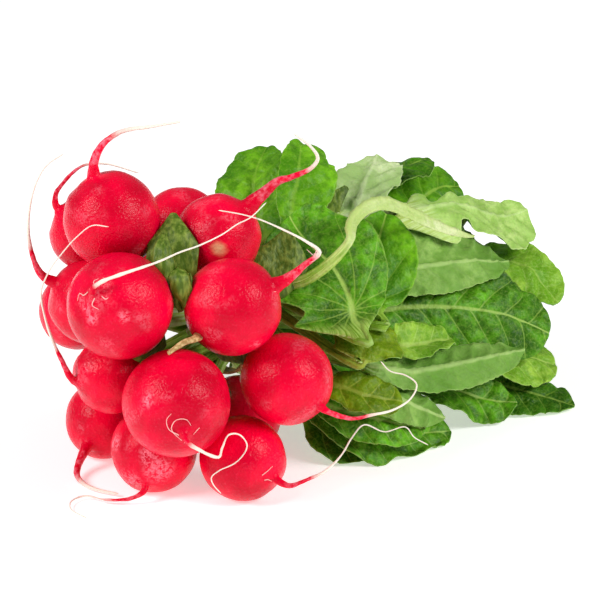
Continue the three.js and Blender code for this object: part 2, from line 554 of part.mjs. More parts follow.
// The origin is on the floor under the middle of the whole bunch.
const extent = new THREE.Box3().setFromObject(bunch);
const centre = extent.getCenter(new THREE.Vector3());
bunch.position.set(-centre.x, -centre.y, -extent.min.z);
const group = new THREE.Group();
group.add(bunch);

export default group;
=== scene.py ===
"""A bunch of small round red radishes lying on its side: smooth bulbs with thin taproots, and veined leaves.

Lengths are millimetres in the frame of the tables, and metres once a mesh is made.
"""
import math

import bpy
import numpy as np
from mathutils import Matrix, Vector, noise


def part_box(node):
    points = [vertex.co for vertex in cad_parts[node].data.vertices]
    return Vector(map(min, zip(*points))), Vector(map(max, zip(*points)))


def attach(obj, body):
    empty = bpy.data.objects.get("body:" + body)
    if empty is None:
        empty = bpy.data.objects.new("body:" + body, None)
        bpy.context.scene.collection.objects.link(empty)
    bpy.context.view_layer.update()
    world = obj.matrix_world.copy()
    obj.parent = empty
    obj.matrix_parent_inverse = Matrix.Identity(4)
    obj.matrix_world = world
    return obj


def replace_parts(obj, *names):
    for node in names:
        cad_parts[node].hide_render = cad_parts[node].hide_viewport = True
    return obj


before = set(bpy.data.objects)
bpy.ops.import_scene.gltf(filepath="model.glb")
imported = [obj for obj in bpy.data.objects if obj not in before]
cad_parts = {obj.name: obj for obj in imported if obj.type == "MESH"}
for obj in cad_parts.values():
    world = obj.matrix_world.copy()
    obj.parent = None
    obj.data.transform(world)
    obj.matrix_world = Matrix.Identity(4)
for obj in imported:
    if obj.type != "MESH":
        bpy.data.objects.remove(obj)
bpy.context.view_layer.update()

# Driving dimensions, the same as those of the solids
CLEARANCE = 0.35
NECK = np.array([8.0, -3.0, 43.0])  # middle of the tie
GATHER = np.array([-9.0, -3.0, 46.0])  # where the crowns point
TIE_WIDTH = 5.0
TIE_THICK = 1.2
TIE_BORE = 16.4
SLOT_PITCH = 4.7  # spacing of the stalks in the tie
STALK_WIDTH = 3.4
STALK_THICK = 2.9
RIB_THICK = 1.5
BLADE_THICK = 0.7
TOOTH = 0.07
BLADE_WAVE = 0.09
FLATTEN = 0.97
CROWN_PULL = 1.2
ROOT_TIP = 0.45
ROOT_FLARE = 1.2
FLARE_REACH = 2.5
STALKS_APART = 2.2
BULB_AIR = 1.6
LAY_GAP = 0.8
SMOOTH_PASSES = 6

# Only in the fine bulbs
BULB_SIDES = 56
BULB_RINGS = 46
BULB_TURNS = (0.985 * math.pi, 0.21 * math.pi)  # where a bulb's first and last ring lie
SEAM_RING = 20  # the ring whose first point looks towards SEAM_FACE
SEAM_FACE = (0.3, 0.2, 1)
BULB_LUMPS = ((0.022, 9, 0), (0.008, 3.2, 40))  # height as a share of the radius, size, seed
DIMPLE_DEPTH = 0.05  # hollow round the crown, as a share of the radius
DIMPLE_WIDTH = 0.26  # radians
ROOT_START = 0.8  # where a taproot's line leaves the bulb's, as a share of the radius
SHOULDER = 2.4  # how sharply a bulb turns into its taproot
ROOT_CREASES = ((0.28, 2.6, 80), (0.12, 1.2, 90))  # height, size, seed
CREASE_REACH = 20.0  # how fast a taproot's creases smooth out towards its end
WORN = (0.35, 7)  # strength and size of the worn patches all over the skin
RING_STEP = 0.75  # spacing of the rings along a taproot
THREAD_REACH = 16.0  # how fast a taproot thins to its thread
THREAD = 0.16  # radius of a taproot's fine end

# Only in the fine leaves
FINE_BLADE = 0.42  # thickness between the veins
STALK_CHANNEL = 0.5  # depth of the channel along a stalk's upper side
VEIN_PROUD = 0.3  # how far a side vein stands out underneath, where it starts
FINE_CELL = 0.8  # spacing of the points
CALM = 0.3  # share of the teeth and relief on a smooth leaf
FAN_ANGLE = math.radians(24)  # between the veins of a leaf whose veins meet at its base
TIP_ROUND = 1.5  # rows of the net by which a blade's corners fall short of its tip
TEETH = (0.38, 2.7)  # height of a tooth of the margin, and the least spacing
LOBES = (0.25, 3.4)  # height of a lobe of the margin, and how many teeth it holds
VEIN_GROOVE = (0.34, 0.9)  # depth and half width
RIB_GROOVE = (0.3, 1.3)
PILLOW = 0.7  # height of the blade between its veins
PUCKERS = ((0.6, 5.5, 3), (0.36, 2.4, 5))  # height, size, seed
VEIN_ANGLE = 0.75  # how far along the midrib a side vein runs for each millimetre across
VEIN_SPACING = 6.5  # of the side veins on the narrowest leaf
VEIN_OFFSET = 0.37  # how far the side veins of one half are out of step with the other's
RUFFLE = 0.5  # height of a ruffle at the margin
RUFFLE_RUNS = (15, 6.7)  # lengths of its longer and shorter waves

# Bulbs: middle, radius, root radius at the bulb, how far the thick part reaches, where the red fades to
# cream along the root, and the root's path.
BULBS = [
    ("radish_top_left", (-29, 4.3, 83), 15.1, 2.1, 17, (10, 26), [
        (-33, 8, 98), (-33, 7, 103), (-31, 5, 108), (-27, 1, 112), (-21, -6, 114), (-15, -13, 116)]),
    ("radish_left", (-42.5, -17.2, 63.7), 16.4, 1.1, 24, (2.5, 7), [
        (-57, -23, 74), (-55, -26, 77), (-49, -31, 80), (-40, -34, 82), (-34, -36, 84), (-27, -37, 85),
        (-19, -38, 87), (-13, -38, 89), (-8, -38, 90), (-1, -37, 93)]),
    ("radish_front", (-35.7, -36, 36), 16.5, 1.7, 22, (3, 8), [
        (-45, -53, 31), (-43, -55, 29), (-38, -59, 26), (-34, -56, 27), (-29, -53, 29), (-25, -53, 28),
        (-22, -53, 24), (-22, -52, 21), (-25, -51, 18), (-30, -49, 16), (-32, -48, 14), (-32, -49, 12),
        (-30, -50, 9)]),
    ("radish_upper", (-1.2, -12.9, 75.4), 13.6, 3.4, 14, (19, 30), [
        (10, -21, 89), (14, -25, 94), (17, -27, 95), (22, -31, 98), (24, -32, 101), (22, -31, 105),
        (18, -28, 109)]),
    ("radish_middle", (-13.4, -35.6, 61.7), 15, 2.9, 11, (14, 19), [
        (-1, -47, 71), (3, -51, 76), (6, -54, 80), (2, -52, 84), (-2, -47, 87), (-5, -40, 89),
        (-6, -32, 89), (-9, -24, 89)]),
    ("radish_right", (0.4, -44.9, 37.2), 14.4, 1.7, 22, (13, 22), [
        (3, -61, 31), (8, -67, 29), (15, -69, 29), (23, -70, 29), (30, -70, 31), (34, -68, 34),
        (33, -64, 36), (30, -60, 37), (28, -58, 40)]),
    ("radish_low_right", (-13, -39.7, 12.6), 13.4, 1.6, 24, (10, 20), [
        (-9, -57, 8), (-2, -59, 9), (5, -59, 10), (12, -58, 13), (17, -57, 17), (22, -57, 20),
        (28, -60, 17), (34, -63, 18), (37, -64, 14), (41, -66, 11)]),
    ("radish_low_front", (-30, -16.4, 12.8), 13.6, 1.5, 16, (8, 24), [
        (-41, -25, 4), (-45, -23, 2.2), (-50, -18, 1.6), (-53, -11, 1.4), (-58, -11, 1.2),
        (-62, -16, 1.1), (-62, -24, 1)]),
    ("radish_low_left", (-36.2, -3.6, 35.2), 12, 1.6, 26, (9, 18), [
        (-49, -1, 36), (-52, 1, 43), (-54, 3, 50), (-55, 5, 57), (-54, 8, 64), (-51, 7, 71),
        (-49, 4, 76), (-47, -2, 83), (-44, -6, 87), (-41, -10, 87)]),
    ("radish_floor_left", (-25.8, 15, 12), 12.8, 2, 17, (12, 26), [
        (-38, 9, 7), (-42, 7, 4), (-46, 3, 2.2), (-48, -4, 1.6), (-47, -10, 1.4), (-44, -16, 1.2)]),
    ("radish_far_left", (-31.3, 13.2, 54), 13.4, 2, 12, (10, 22), [
        (-45, 20, 64), (-47, 22, 70), (-47, 24, 77), (-45, 26, 84), (-41, 28, 91), (-36, 29, 96),
        (-30, 28, 99)]),
    ("radish_behind_top", (-19.5, 31, 69.6), 12.1, 1.5, 20, (14, 26), [
        (-27, 37, 79), (-27, 37, 83), (-24, 37, 86), (-21, 36, 89), (-17, 35, 91), (-11, 32, 91),
        (-3, 25, 88)]),
    ("radish_behind_left", (-21, 35, 42.5), 12.7, 1.5, 18, (8, 20), [
        (-14, 47, 38), (-8, 52, 32), (-3, 54, 24), (0, 55, 15), (2, 55, 6)]),
    ("radish_behind_upper", (6.4, 14.6, 70.4), 12.9, 1.5, 14, (8, 20), [
        (8, 28, 73), (9, 36, 69), (8, 43, 63), (4, 50, 56), (-2, 54, 48), (-6, 56, 40)]),
    ("radish_under_middle", (8.7, -11.6, 12.4), 13.2, 1.5, 14, (8, 20), [
        (20, -6, 6), (26, -3, 3), (31, -1, 1.6), (36, -2, 1.2)]),
    ("radish_floor_back", (-1, 27, 12.1), 13, 1.6, 18, (8, 20), [
        (8, 38, 7), (14, 44, 4.5), (20, 48, 2.2), (26, 50, 1.6), (30, 54, 1.2)]),
    ("radish_back", (6.5, 43.4, 42.7), 12.9, 1.6, 17, (8, 20), [
        (13, 57, 43), (14, 62, 38), (12, 66, 30), (8, 68, 21), (5, 67, 12), (4, 64, 5)]),
]
BULBS = [dict(zip(("name", "at", "r", "girth", "taper", "fade", "root"), row)) for row in BULBS]

# Taproots that are finer than the solids': radius at the bulb, how far the thick part reaches
FINE_ROOTS = {
    "radish_front": (0.85, 12),
    "radish_left": (0.85, 18),
    "radish_low_left": (1.2, 14),
    "radish_right": (1.2, 15),
    "radish_low_right": (1.2, 13),
    "radish_low_front": (1.2, 9),
    "radish_behind_top": (1.2, 12),
}

# Leaves from the floor and the heart of the heap outwards: half width, which way the upper side faces,
# fold of each half towards that side in degrees, and the midrib from the blade's base to its tip.
LEAVES = [
    ("core_low", 18, (0, 0, 1), (8, 8),
     [(42, -4, 10), (66, -3, 8), (90, 0, 7), (112, 4, 6)],
     {}),
    ("back_low", 17, (0, 0.2, 1), (6, -6),
     [(38, 22, 10), (62, 30, 7), (86, 33, 5), (108, 31, 4)],
     {}),
    ("under_left", 9, (-0.4, -0.5, 0.8), (5, 5),
     [(26, -27, 12), (28, -33, 8), (32, -39, 5), (37, -45, 3)],
     {}),
    ("under_front", 14, (-0.3, -0.5, 0.8), (-10, -14),
     [(26, -26, 14), (34, -34, 9), (45, -40, 6), (57, -45, 4), (68, -48, 3)],
     {}),
    ("under_right", 11, (-0.2, -0.4, 0.9), (-8, -12),
     [(79, -25, 15), (91, -34, 11), (103, -43, 7), (111, -50, 4), (116, -57, 2)],
     {"look": "shaded"}),
    ("under_mid", 10, (-0.4, -0.4, 0.8), (-6, -10),
     [(62, -26, 18), (72, -33, 13), (81, -38, 9), (89, -42, 5), (96, -45, 3)],
     {}),
    ("core_mid", 20, (0, 0, 1), (6, 10),
     [(40, 2, 24), (64, 5, 22), (90, 8, 20), (114, 9, 16)],
     {}),
    ("back_mid", 18, (0.1, 0.6, 0.8), (-8, 4),
     [(38, 24, 28), (60, 36, 22), (82, 40, 15), (102, 40, 9)],
     {}),
    ("back_end", 15, (0.2, 0.2, 0.9), (6, -12),
     [(80, 12, 24), (100, 18, 22), (116, 18, 18), (130, 12, 12)],
     {}),
    ("low_right", 14, (-0.2, -0.4, 0.9), (-8, -10),
     [(91, -27, 22), (101, -32, 18), (111, -38, 15), (120, -43, 11)],
     {"look": "lime", "tip": 0.7}),
    ("core_high", 18, (0, 0.1, 1), (5, 5),
     [(48, 5, 36), (76, 2, 37), (103, -3, 37), (130, -12, 37)],
     {"look": "shaded", "tip": 0.7}),
    ("back_high", 17, (0, 0.7, 0.7), (-6, -6),
     [(36, 20, 46), (56, 32, 44), (76, 38, 36), (96, 38, 26)],
     {}),
    ("end_curl", (11, 15), (-0.1, -0.5, 0.9), (10, 14),
     [(108, -6, 36), (119, -16, 36), (126, -28, 34), (128, -36, 30)],
     {"look": "lime", "tip": 0.6}),
    ("long_green", (16, 20), (-0.4, -0.6, 0.7), (-4, -30),
     [(49, -17, 35), (67, -24, 38), (83, -31, 37), (100, -38, 32), (114, -45, 24)],
     {"tip": 0.8}),
    ("top_round", (14, 16), (-0.5, -0.7, 0.5), (-14, -20),
     [(89, 1, 57), (97, 4, 60), (105, 7, 62), (114, 9, 63), (124, 10, 61)],
     {"tip": 0.7, "look": "bright"}),
    ("long_pale", (10, 22), (0.4, 0.5, -0.7), (6, 8),
     [(50, -15, 46), (65, -20, 50), (79, -24, 50), (95, -27, 48), (110, -28, 42)],
     {"base": 0.6, "tip": 0.6}),
    ("tongue_pale", (17, 11), (0.5, 0.6, -0.6), (6, 6),
     [(92, -10, 54), (102, -11, 54), (112, -13, 54), (123, -13, 54), (134, -13, 55)],
     {"base": 0.9, "tip": 0.85, "under": "lime"}),
    ("back_top", 13, (0, 0.5, 0.85), (-8, -5),
     [(55, 15, 52), (75, 14, 52), (95, 10, 48), (112, 6, 47)],
     {"base": 0.8, "look": "shaded"}),
    ("top_pale", (13, 13), (0.4, 0.6, -0.7), (8, 8),
     [(67, -1, 62), (73, 3, 65), (80, 8, 69), (86, 12, 72), (92, 17, 76)],
     {"base": 0.7, "tip": 0.5, "under": "pale"}),
    ("stand_left", (13, 12), (-0.7, -0.4, 0.5), (2, 6),
     [(35, 8, 64), (38, 16, 70), (42, 22, 76), (48, 27, 80), (55, 31, 84)],
     {"base": 0.8, "tip": 0.6, "look": "bright"}),
    ("stand_right", (7, 12), (-0.5, -0.8, 0.4), (6, 8),
     [(35, -5, 68), (40, -1, 74), (46, 3, 79), (52, 9, 83), (57, 14, 86)],
     {"base": 0.5, "tip": 0.8, "look": "bright"}),
    # A leaf in a shaded hollow of the heap, given the darker upper side as painted shade
    ("recess_dark", 9, (-0.5, -0.6, 0.6), (4, 2),
     [(35, -19, 27), (42, -23, 24), (48, -28, 21), (54, -33, 17)],
     {"look": "shaded"}),
    ("low_green", 9, (-0.4, -0.5, 0.8), (-8, -6),
     [(22, -34, 21), (28, -40, 18), (36, -45, 15), (44, -49, 12), (53, -52, 9)],
     {}),
    ("fold_pale", 7, (0.4, 0.6, -0.7), (12, 12),
     [(30, -37, 27), (36, -43, 25), (43, -48, 21), (51, -52, 16), (58, -55, 12)],
     {}),
    ("narrow_pale", 8, (0.3, 0.5, -0.8), (14, 8),
     [(41, -36, 20), (51, -41, 21), (65, -46, 24), (81, -49, 25), (98, -50, 24)],
     {}),
    ("curl_small", 7, (-0.4, -0.5, 0.8), (20, 24),
     [(50, -33, 24), (55, -37, 28), (61, -40, 31), (67, -41, 32), (73, -40, 29)],
     {"look": "lime"}),
    ("low_yellow", 7, (-0.5, -0.6, 0.7), (-6, 8),
     [(21, -39, 29), (25, -45, 28), (29, -49, 26), (35, -52, 24), (41, -54, 22)],
     {"look": "yellow"}),
    ("round_yellow", (13, 12), (-0.6, -0.7, 0.4), (-10, -10),
     [(28, -49, 39), (30, -48, 42), (33, -47, 44), (36, -45, 45), (40, -43, 47)],
     {"way": (26, -50, 37), "base": (0.7, 0.3), "tip": 0.7, "look": "yellow"}),
    ("face_bright", (9, 14), (-0.4, -0.85, 0.3), (8, 10),
     [(39, -38, 45), (42, -35, 50), (47, -32, 57), (53, -28, 66), (61, -23, 73)],
     {"way": (38, -47, 43), "base": (0.5, 0.2), "tip": 0.6, "look": "bright", "fan": 1}),
    ("wide_veined", (22, 17), (-0.1, -0.85, 0.5), (4, 0),
     [(29, -42, 45), (31, -37, 49), (32, -30, 56), (31, -21, 64), (30, -11, 71)],
     {"way": (27, -52, 43), "base": (0.95, 0.3), "tip": 0.8, "fan": 4}),
    ("hood_stalked", (4, 2.4), (0, 0, -1), (45, 60),
     [(29, -40, 72), (33, -36, 77), (39, -34, 81), (47, -33, 83), (58, -34, 79), (69, -37, 72),
      (82, -42, 65)],
     {"way": (18, -31, 58), "under": "cream", "look": "lime", "smooth": True}),
]
SHOWN_VEINS = {
    "top_pale": 0.3, "stand_left": 0.25, "stand_right": 0.25, "tongue_pale": 0.3, "end_curl": 0.3,
    "round_yellow": 0.25, "long_pale": 0.6, "narrow_pale": 0.6, "hood_stalked": 0.4, "wide_veined": 1,
    "face_bright": 0.8, "long_green": 1,
}

tie_low, tie_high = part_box("tie")
SHIFT = np.array((tie_low + tie_high) / 2) * 1000 - NECK


# Lines and frames

def length_of(v):
    return np.linalg.norm(v, axis=-1, keepdims=True)


def unit(v):
    return v / np.maximum(length_of(v), 1e-9)


def step(low, high, x):
    t = np.clip((np.asarray(x, float) - low) / (high - low), 0, 1)
    return t * t * (3 - 2 * t)


def curve(points, t):
    """Points at `t`, from 0 to 1, of the centripetal spline through `points`."""
    p = np.asarray(points, float)
    q = np.vstack([2 * p[0] - p[1], p, 2 * p[-1] - p[-2]])
    s = np.clip(np.asarray(t, float), 0, 1) * (len(p) - 1)
    i = np.minimum(s.astype(int), len(p) - 2)
    w = (s - i)[:, None]
    a, b, c, d = q[i], q[i + 1], q[i + 2], q[i + 3]
    run_a, run_b, run_c = np.sqrt(length_of(b - a)), np.sqrt(length_of(c - b)), np.sqrt(length_of(d - c))
    out = ((b - a) / run_a - (c - a) / (run_a + run_b) + (c - b) / run_b) * run_b
    into = ((c - b) / run_b - (d - b) / (run_b + run_c) + (d - c) / run_c) * run_b
    return b + out * w + (3 * (c - b) - 2 * out - into) * w ** 2 + (2 * (b - c) + out + into) * w ** 3


def along(points, shares):
    """Points at shares of the spline's length, and that length."""
    t = np.linspace(0, 1, 201)
    p = curve(points, t)
    run = np.concatenate([[0], np.cumsum(length_of(np.diff(p, axis=0))[:, 0])])
    return curve(points, np.interp(np.asarray(shares) * run[-1], run, t)), run[-1]


def square_to(way, near):
    return unit(near - way * np.dot(near, way))


def carried(points, start, first):
    """Tangents, and directions square to them that are carried from `start` without twist."""
    last = len(points) - 1
    place = np.arange(last + 1)
    tangents = unit(points[np.minimum(place + 1, last)] - points[np.maximum(place - 1, 0)])
    faces = np.zeros_like(tangents)
    faces[start] = square_to(tangents[start], np.asarray(first, float))
    for i in range(start + 1, last + 1):
        faces[i] = square_to(tangents[i], faces[i - 1])
    for i in range(start - 1, -1, -1):
        faces[i] = square_to(tangents[i], faces[i + 1])
    return tangents, faces


def crown_way(bulb):
    middle = np.array(bulb["at"], float)
    root_way = unit(np.array(bulb["root"][0], float) - middle)
    return unit(unit(GATHER - middle) * CROWN_PULL - root_way)


# The stalks' places in the tie

def slots_of(ring):
    if ring == 0:
        return [(0.0, 0.0)]
    slots = []
    for side in range(6):
        for k in range(ring):
            a = math.pi / 3 * side
            b = a + 2 * math.pi / 3
            slots.append(((ring * math.cos(a) + k * math.cos(b)) * SLOT_PITCH,
                          (ring * math.sin(a) + k * math.sin(b)) * SLOT_PITCH))
    return slots


def bearing(slot):
    return math.atan2(slot[1], slot[0])


def between(a, b):
    return abs(math.atan2(math.sin(a - b), math.cos(a - b)))


def slot_rings(count):
    rings = []
    while count > 0:
        full = sorted(slots_of(len(rings)), key=bearing)
        used = min(len(full), count)
        rings.append([full[k * len(full) // used] for k in range(used)])
        count -= used
    return rings


SLOT_RINGS = slot_rings(len(LEAVES))


def share_slots(items):
    """What leads furthest sideways gets the outer rings, each in the direction it leads."""
    order = sorted(((math.hypot(y, z) / reach, i, bearing((y, z))) for i, (y, z, reach) in enumerate(items)))
    shared = {}
    for slots in SLOT_RINGS:
        group = sorted(order[:len(slots)], key=lambda g: g[2])
        order = order[len(slots):]
        best = None
        for shift in range(len(slots)):
            dealt = [slots[(k + shift) % len(slots)] for k in range(len(group))]
            cost = sum(between(g[2], bearing(d)) for g, d in zip(group, dealt))
            if best is None or cost < best[0]:
                best = (cost, dealt)
        for g, d in zip(group, best[1]):
            shared[g[1]] = d
    return [shared[i] for i in range(len(items))]


def stems():
    """Foot and direction of each stalk on its crown."""
    made = []
    for i in range(len(LEAVES)):
        bulb = BULBS[i % len(BULBS)]
        way = crown_way(bulb)
        foot = np.array(bulb["at"], float) + way * (bulb["r"] * FLATTEN + 2 * CLEARANCE)
        if len(LEAVES) > len(BULBS) + i % len(BULBS):
            side = 1 if i < len(BULBS) else -1
            foot = foot + square_to(way, np.array([0.5, 1, 0.2])) * side * STALKS_APART
        made.append((foot, way))
    return made


STEMS = stems()
stem_places = [foot - NECK for foot, _ in STEMS]
leaf_places = [np.array(leaf[4][0], float) - NECK for leaf in LEAVES]
stem_slots = share_slots([(d[1], d[2], max(8, 12 - d[0])) for d in stem_places])
leaf_slots = share_slots([(d[1], d[2], max(8, d[0])) for d in leaf_places])


# Leaves as a net of five lines, laid one on another

STALK_ROWS = 5
BLADE_ROWS = 10
LAST_ROW = STALK_ROWS + BLADE_ROWS - 1
NECK_ROWS = 4
ACROSS = np.array([-1, -0.5, 0, 0.5, 1])


def blade_half(u, base, tip):
    swell = math.sin(math.pi * (0.05 + 0.95 * min(u, 0.995)) ** 1.1)
    return max(0.2 + 0.8 * swell ** 0.6, base * (1 - 2 * u), tip * (2 * u - 1))


def pair(value):
    return value if isinstance(value, tuple) else (value, value)


def leaf_net(k):
    name, wide, face, fold, rib, more = LEAVES[k]
    slot = leaf_slots[k]
    foot, way = STEMS[stem_slots.index(slot)]
    in_tie = [NECK + (x, slot[0], slot[1]) for x in (-5, 5)]
    stalk = [foot, foot + way * 3, *in_tie, np.array(rib[0], float), np.array(rib[1], float)]
    low, high = curve(stalk, [0.24, 0.71])
    bend_to = np.array(more["way"], float) if "way" in more else high
    runs = [1 - (1 - row / (BLADE_ROWS - 1)) ** 1.3 for row in range(BLADE_ROWS)]
    blade, _ = along(rib, runs)
    middle = np.vstack([foot, low, *in_tie, bend_to, blade])
    tangents, faces = carried(middle, STALK_ROWS + 3, face)
    halves = pair(wide)
    bases = pair(more.get("base", 0))
    net = np.zeros((len(middle), 5, 3))
    for i, p in enumerate(middle):
        u = -1 if i < STALK_ROWS else runs[i - STALK_ROWS]
        side = np.cross(tangents[i], faces[i])
        tooth = 1 + TOOTH if i % 2 else 1 - TOOTH
        opened = 0 if u < 0 else min(1, u * 4)
        for j, v in enumerate(ACROSS):
            widest = halves[int(v > 0)]
            base = bases[int(v > 0)]
            half = STALK_WIDTH / 2
            wave = 0
            if u >= 0:
                half = max(half, widest * blade_half(u, base, more.get("tip", 0)) * tooth)
                wave = BLADE_WAVE * half * math.sin(7.5 * u + 2.1 * k)
            bend = math.radians(fold[0 if v < 0 else 1]) * opened
            away = half * abs(v)
            lift = away * math.sin(bend) * (0.6 + 0.4 * abs(v)) + wave * v * abs(v)
            net[i, j] = p + side * np.sign(v) * away * math.cos(bend) + faces[i] * lift
    return net


# The heap's outside so far: its reach from a line along x, in cells along x and round that line
HEAP_Y = -8
HEAP_Z = -22
HEAP_X0 = -60
HEAP_X1 = 160
HEAP_DX = 2
HEAP_TURN = math.pi / 90
HEAP_FINE = 5
heap = np.zeros((math.ceil(math.pi / HEAP_TURN), math.ceil((HEAP_X1 - HEAP_X0) / HEAP_DX)))


def heap_place(p):
    y, z = p[..., 1] - HEAP_Y, p[..., 2] - HEAP_Z
    column = np.floor((p[..., 0] - HEAP_X0) / HEAP_DX).astype(int)
    row = np.floor(np.arctan2(z, -y) / HEAP_TURN).astype(int)
    return column, row, np.hypot(y, z)


def heap_top(p, reach):
    column, row, _ = heap_place(p)
    patch = heap[max(0, row - reach):max(0, row + reach + 1),
                 max(0, column - reach):max(0, column + reach + 1)]
    return patch.max() if patch.size else 0


def heap_add(net):
    share = np.linspace(0, 1, HEAP_FINE + 1)
    for i in range(NECK_ROWS - 1, len(net) - 1):
        thick = STALK_THICK / 2 if i < STALK_ROWS - 1 else RIB_THICK / 2
        for j in range(4):
            a, b = share[:, None, None], share[None, :, None]
            near = net[i, j] * (1 - b) + net[i, j + 1] * b
            far = net[i + 1, j] * (1 - b) + net[i + 1, j + 1] * b
            column, row, out = heap_place(near * (1 - a) + far * a)
            inside = (row >= 0) & (row < heap.shape[0])
            np.maximum.at(heap, (row[inside], column[inside]), out[inside] + thick)


def lay_on(net):
    """Moves a net outwards until it lies clear on what is there, and spreads the moves."""
    rows = len(net)
    need = np.zeros((rows, 5))
    for i in range(NECK_ROWS, rows):
        thick = STALK_THICK / 2 if i < STALK_ROWS else RIB_THICK / 2
        for j in range(5):
            top = heap_top(net[i, j], 1 if i < STALK_ROWS + 1 else 2)
            need[i, j] = max(0, top + thick + LAY_GAP - heap_place(net[i, j])[2])
    push = need.copy()
    for _ in range(SMOOTH_PASSES):
        before = push.copy()
        for i in range(NECK_ROWS, rows):
            for j in range(5):
                around = (before[i - 1, j] + before[min(i + 1, rows - 1), j]
                          + before[i, max(j - 1, 0)] + before[i, min(j + 1, 4)])
                push[i, j] = max(need[i, j], around / 4)
    out = net - (0, HEAP_Y, HEAP_Z)
    out[..., 0] = 0
    moved = net + unit(out) * push[..., None]
    moved[..., 2] = np.maximum(moved[..., 2], BLADE_THICK)
    for bulb in BULBS:
        middle = np.array(bulb["at"], float)
        short = bulb["r"] + BULB_AIR - length_of(moved - middle)
        short[:NECK_ROWS] = 0
        moved = moved + unit(moved - middle) * np.maximum(short, 0)
    return moved


def even_edges(net):
    """The coarse net's steps along its edges drawn even; the fine teeth take their place."""
    out = net.copy()
    for i in range(STALK_ROWS, len(net)):
        tooth = 1 + TOOTH if i % 2 else 1 - TOOTH
        out[i] = net[i, 2] + (net[i] - net[i, 2]) / tooth
    return out


# Meshes

def mesh_piece(name, points, faces, materials, face_slots=None, numbers=None, sheet=None):
    """A smooth mesh object from points in millimetres, with its numbers at the points and its flat places."""
    mesh = bpy.data.meshes.new(name)
    mesh.from_pydata(((points + SHIFT) / 1000).tolist(), [], faces)
    for material in materials:
        mesh.materials.append(material)
    if face_slots is not None:
        mesh.polygons.foreach_set("material_index", np.asarray(face_slots, np.int32))
    for key, values in (numbers or {}).items():
        mesh.attributes.new(key, "FLOAT", "POINT").data.foreach_set("value", np.asarray(values, np.float32))
    if sheet is not None:
        corners = np.zeros(len(mesh.loops), np.int32)
        mesh.loops.foreach_get("vertex_index", corners)
        layer = mesh.uv_layers.new(name="sheet")
        layer.data.foreach_set("uv", np.asarray(sheet, np.float32)[corners].ravel())
    mesh.polygons.foreach_set("use_smooth", np.ones(len(mesh.polygons), bool))
    mesh.update()
    piece = bpy.data.objects.new(name, mesh)
    bpy.context.scene.collection.objects.link(piece)
    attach(piece, "root")
    return piece


def tube_faces(rings, sides, first=0):
    """Faces of a closed tube whose first and last rings are drawn together at a point of their own."""
    faces = []
    for i in range(rings - 1):
        for j in range(sides):
            a = first + i * sides + j
            b = first + i * sides + (j + 1) % sides
            faces.append((a, b, b + sides, a + sides))
    low = first + rings * sides
    end = first + (rings - 1) * sides
    for j in range(sides):
        faces.append((low, first + (j + 1) % sides, first + j))
        faces.append((low + 1, end + j, end + (j + 1) % sides))
    return faces


def ring_points(middle, a, b, radius, sides):
    turn = np.linspace(0, 2 * math.pi, sides, endpoint=False)
    return middle + radius * (np.cos(turn)[:, None] * a + np.sin(turn)[:, None] * b)


def bumps(points, size, seed):
    """Smooth noise of about `size` millimetres at each point, from -1 to 1."""
    offset = Vector((seed * 17.3, seed * 5.1, seed * 9.7))
    return np.array([noise.noise(Vector(p) / size + offset) for p in points.tolist()])


def root_radius(bulb, run):
    """Radius of a taproot at `run` past its bulb: a flare, the thick part, then a long thread."""
    ahead = np.maximum(run, 0)
    tip = THREAD + (ROOT_TIP - THREAD) * np.exp(-ahead / THREAD_REACH)
    girth, taper = FINE_ROOTS.get(bulb["name"], (bulb["girth"], bulb["taper"]))
    root = tip + (girth - tip) * np.exp(-ahead / taper) + ROOT_FLARE * np.exp(-ahead / FLARE_REACH)
    return root * step(-0.45 * bulb["r"], 0, run)


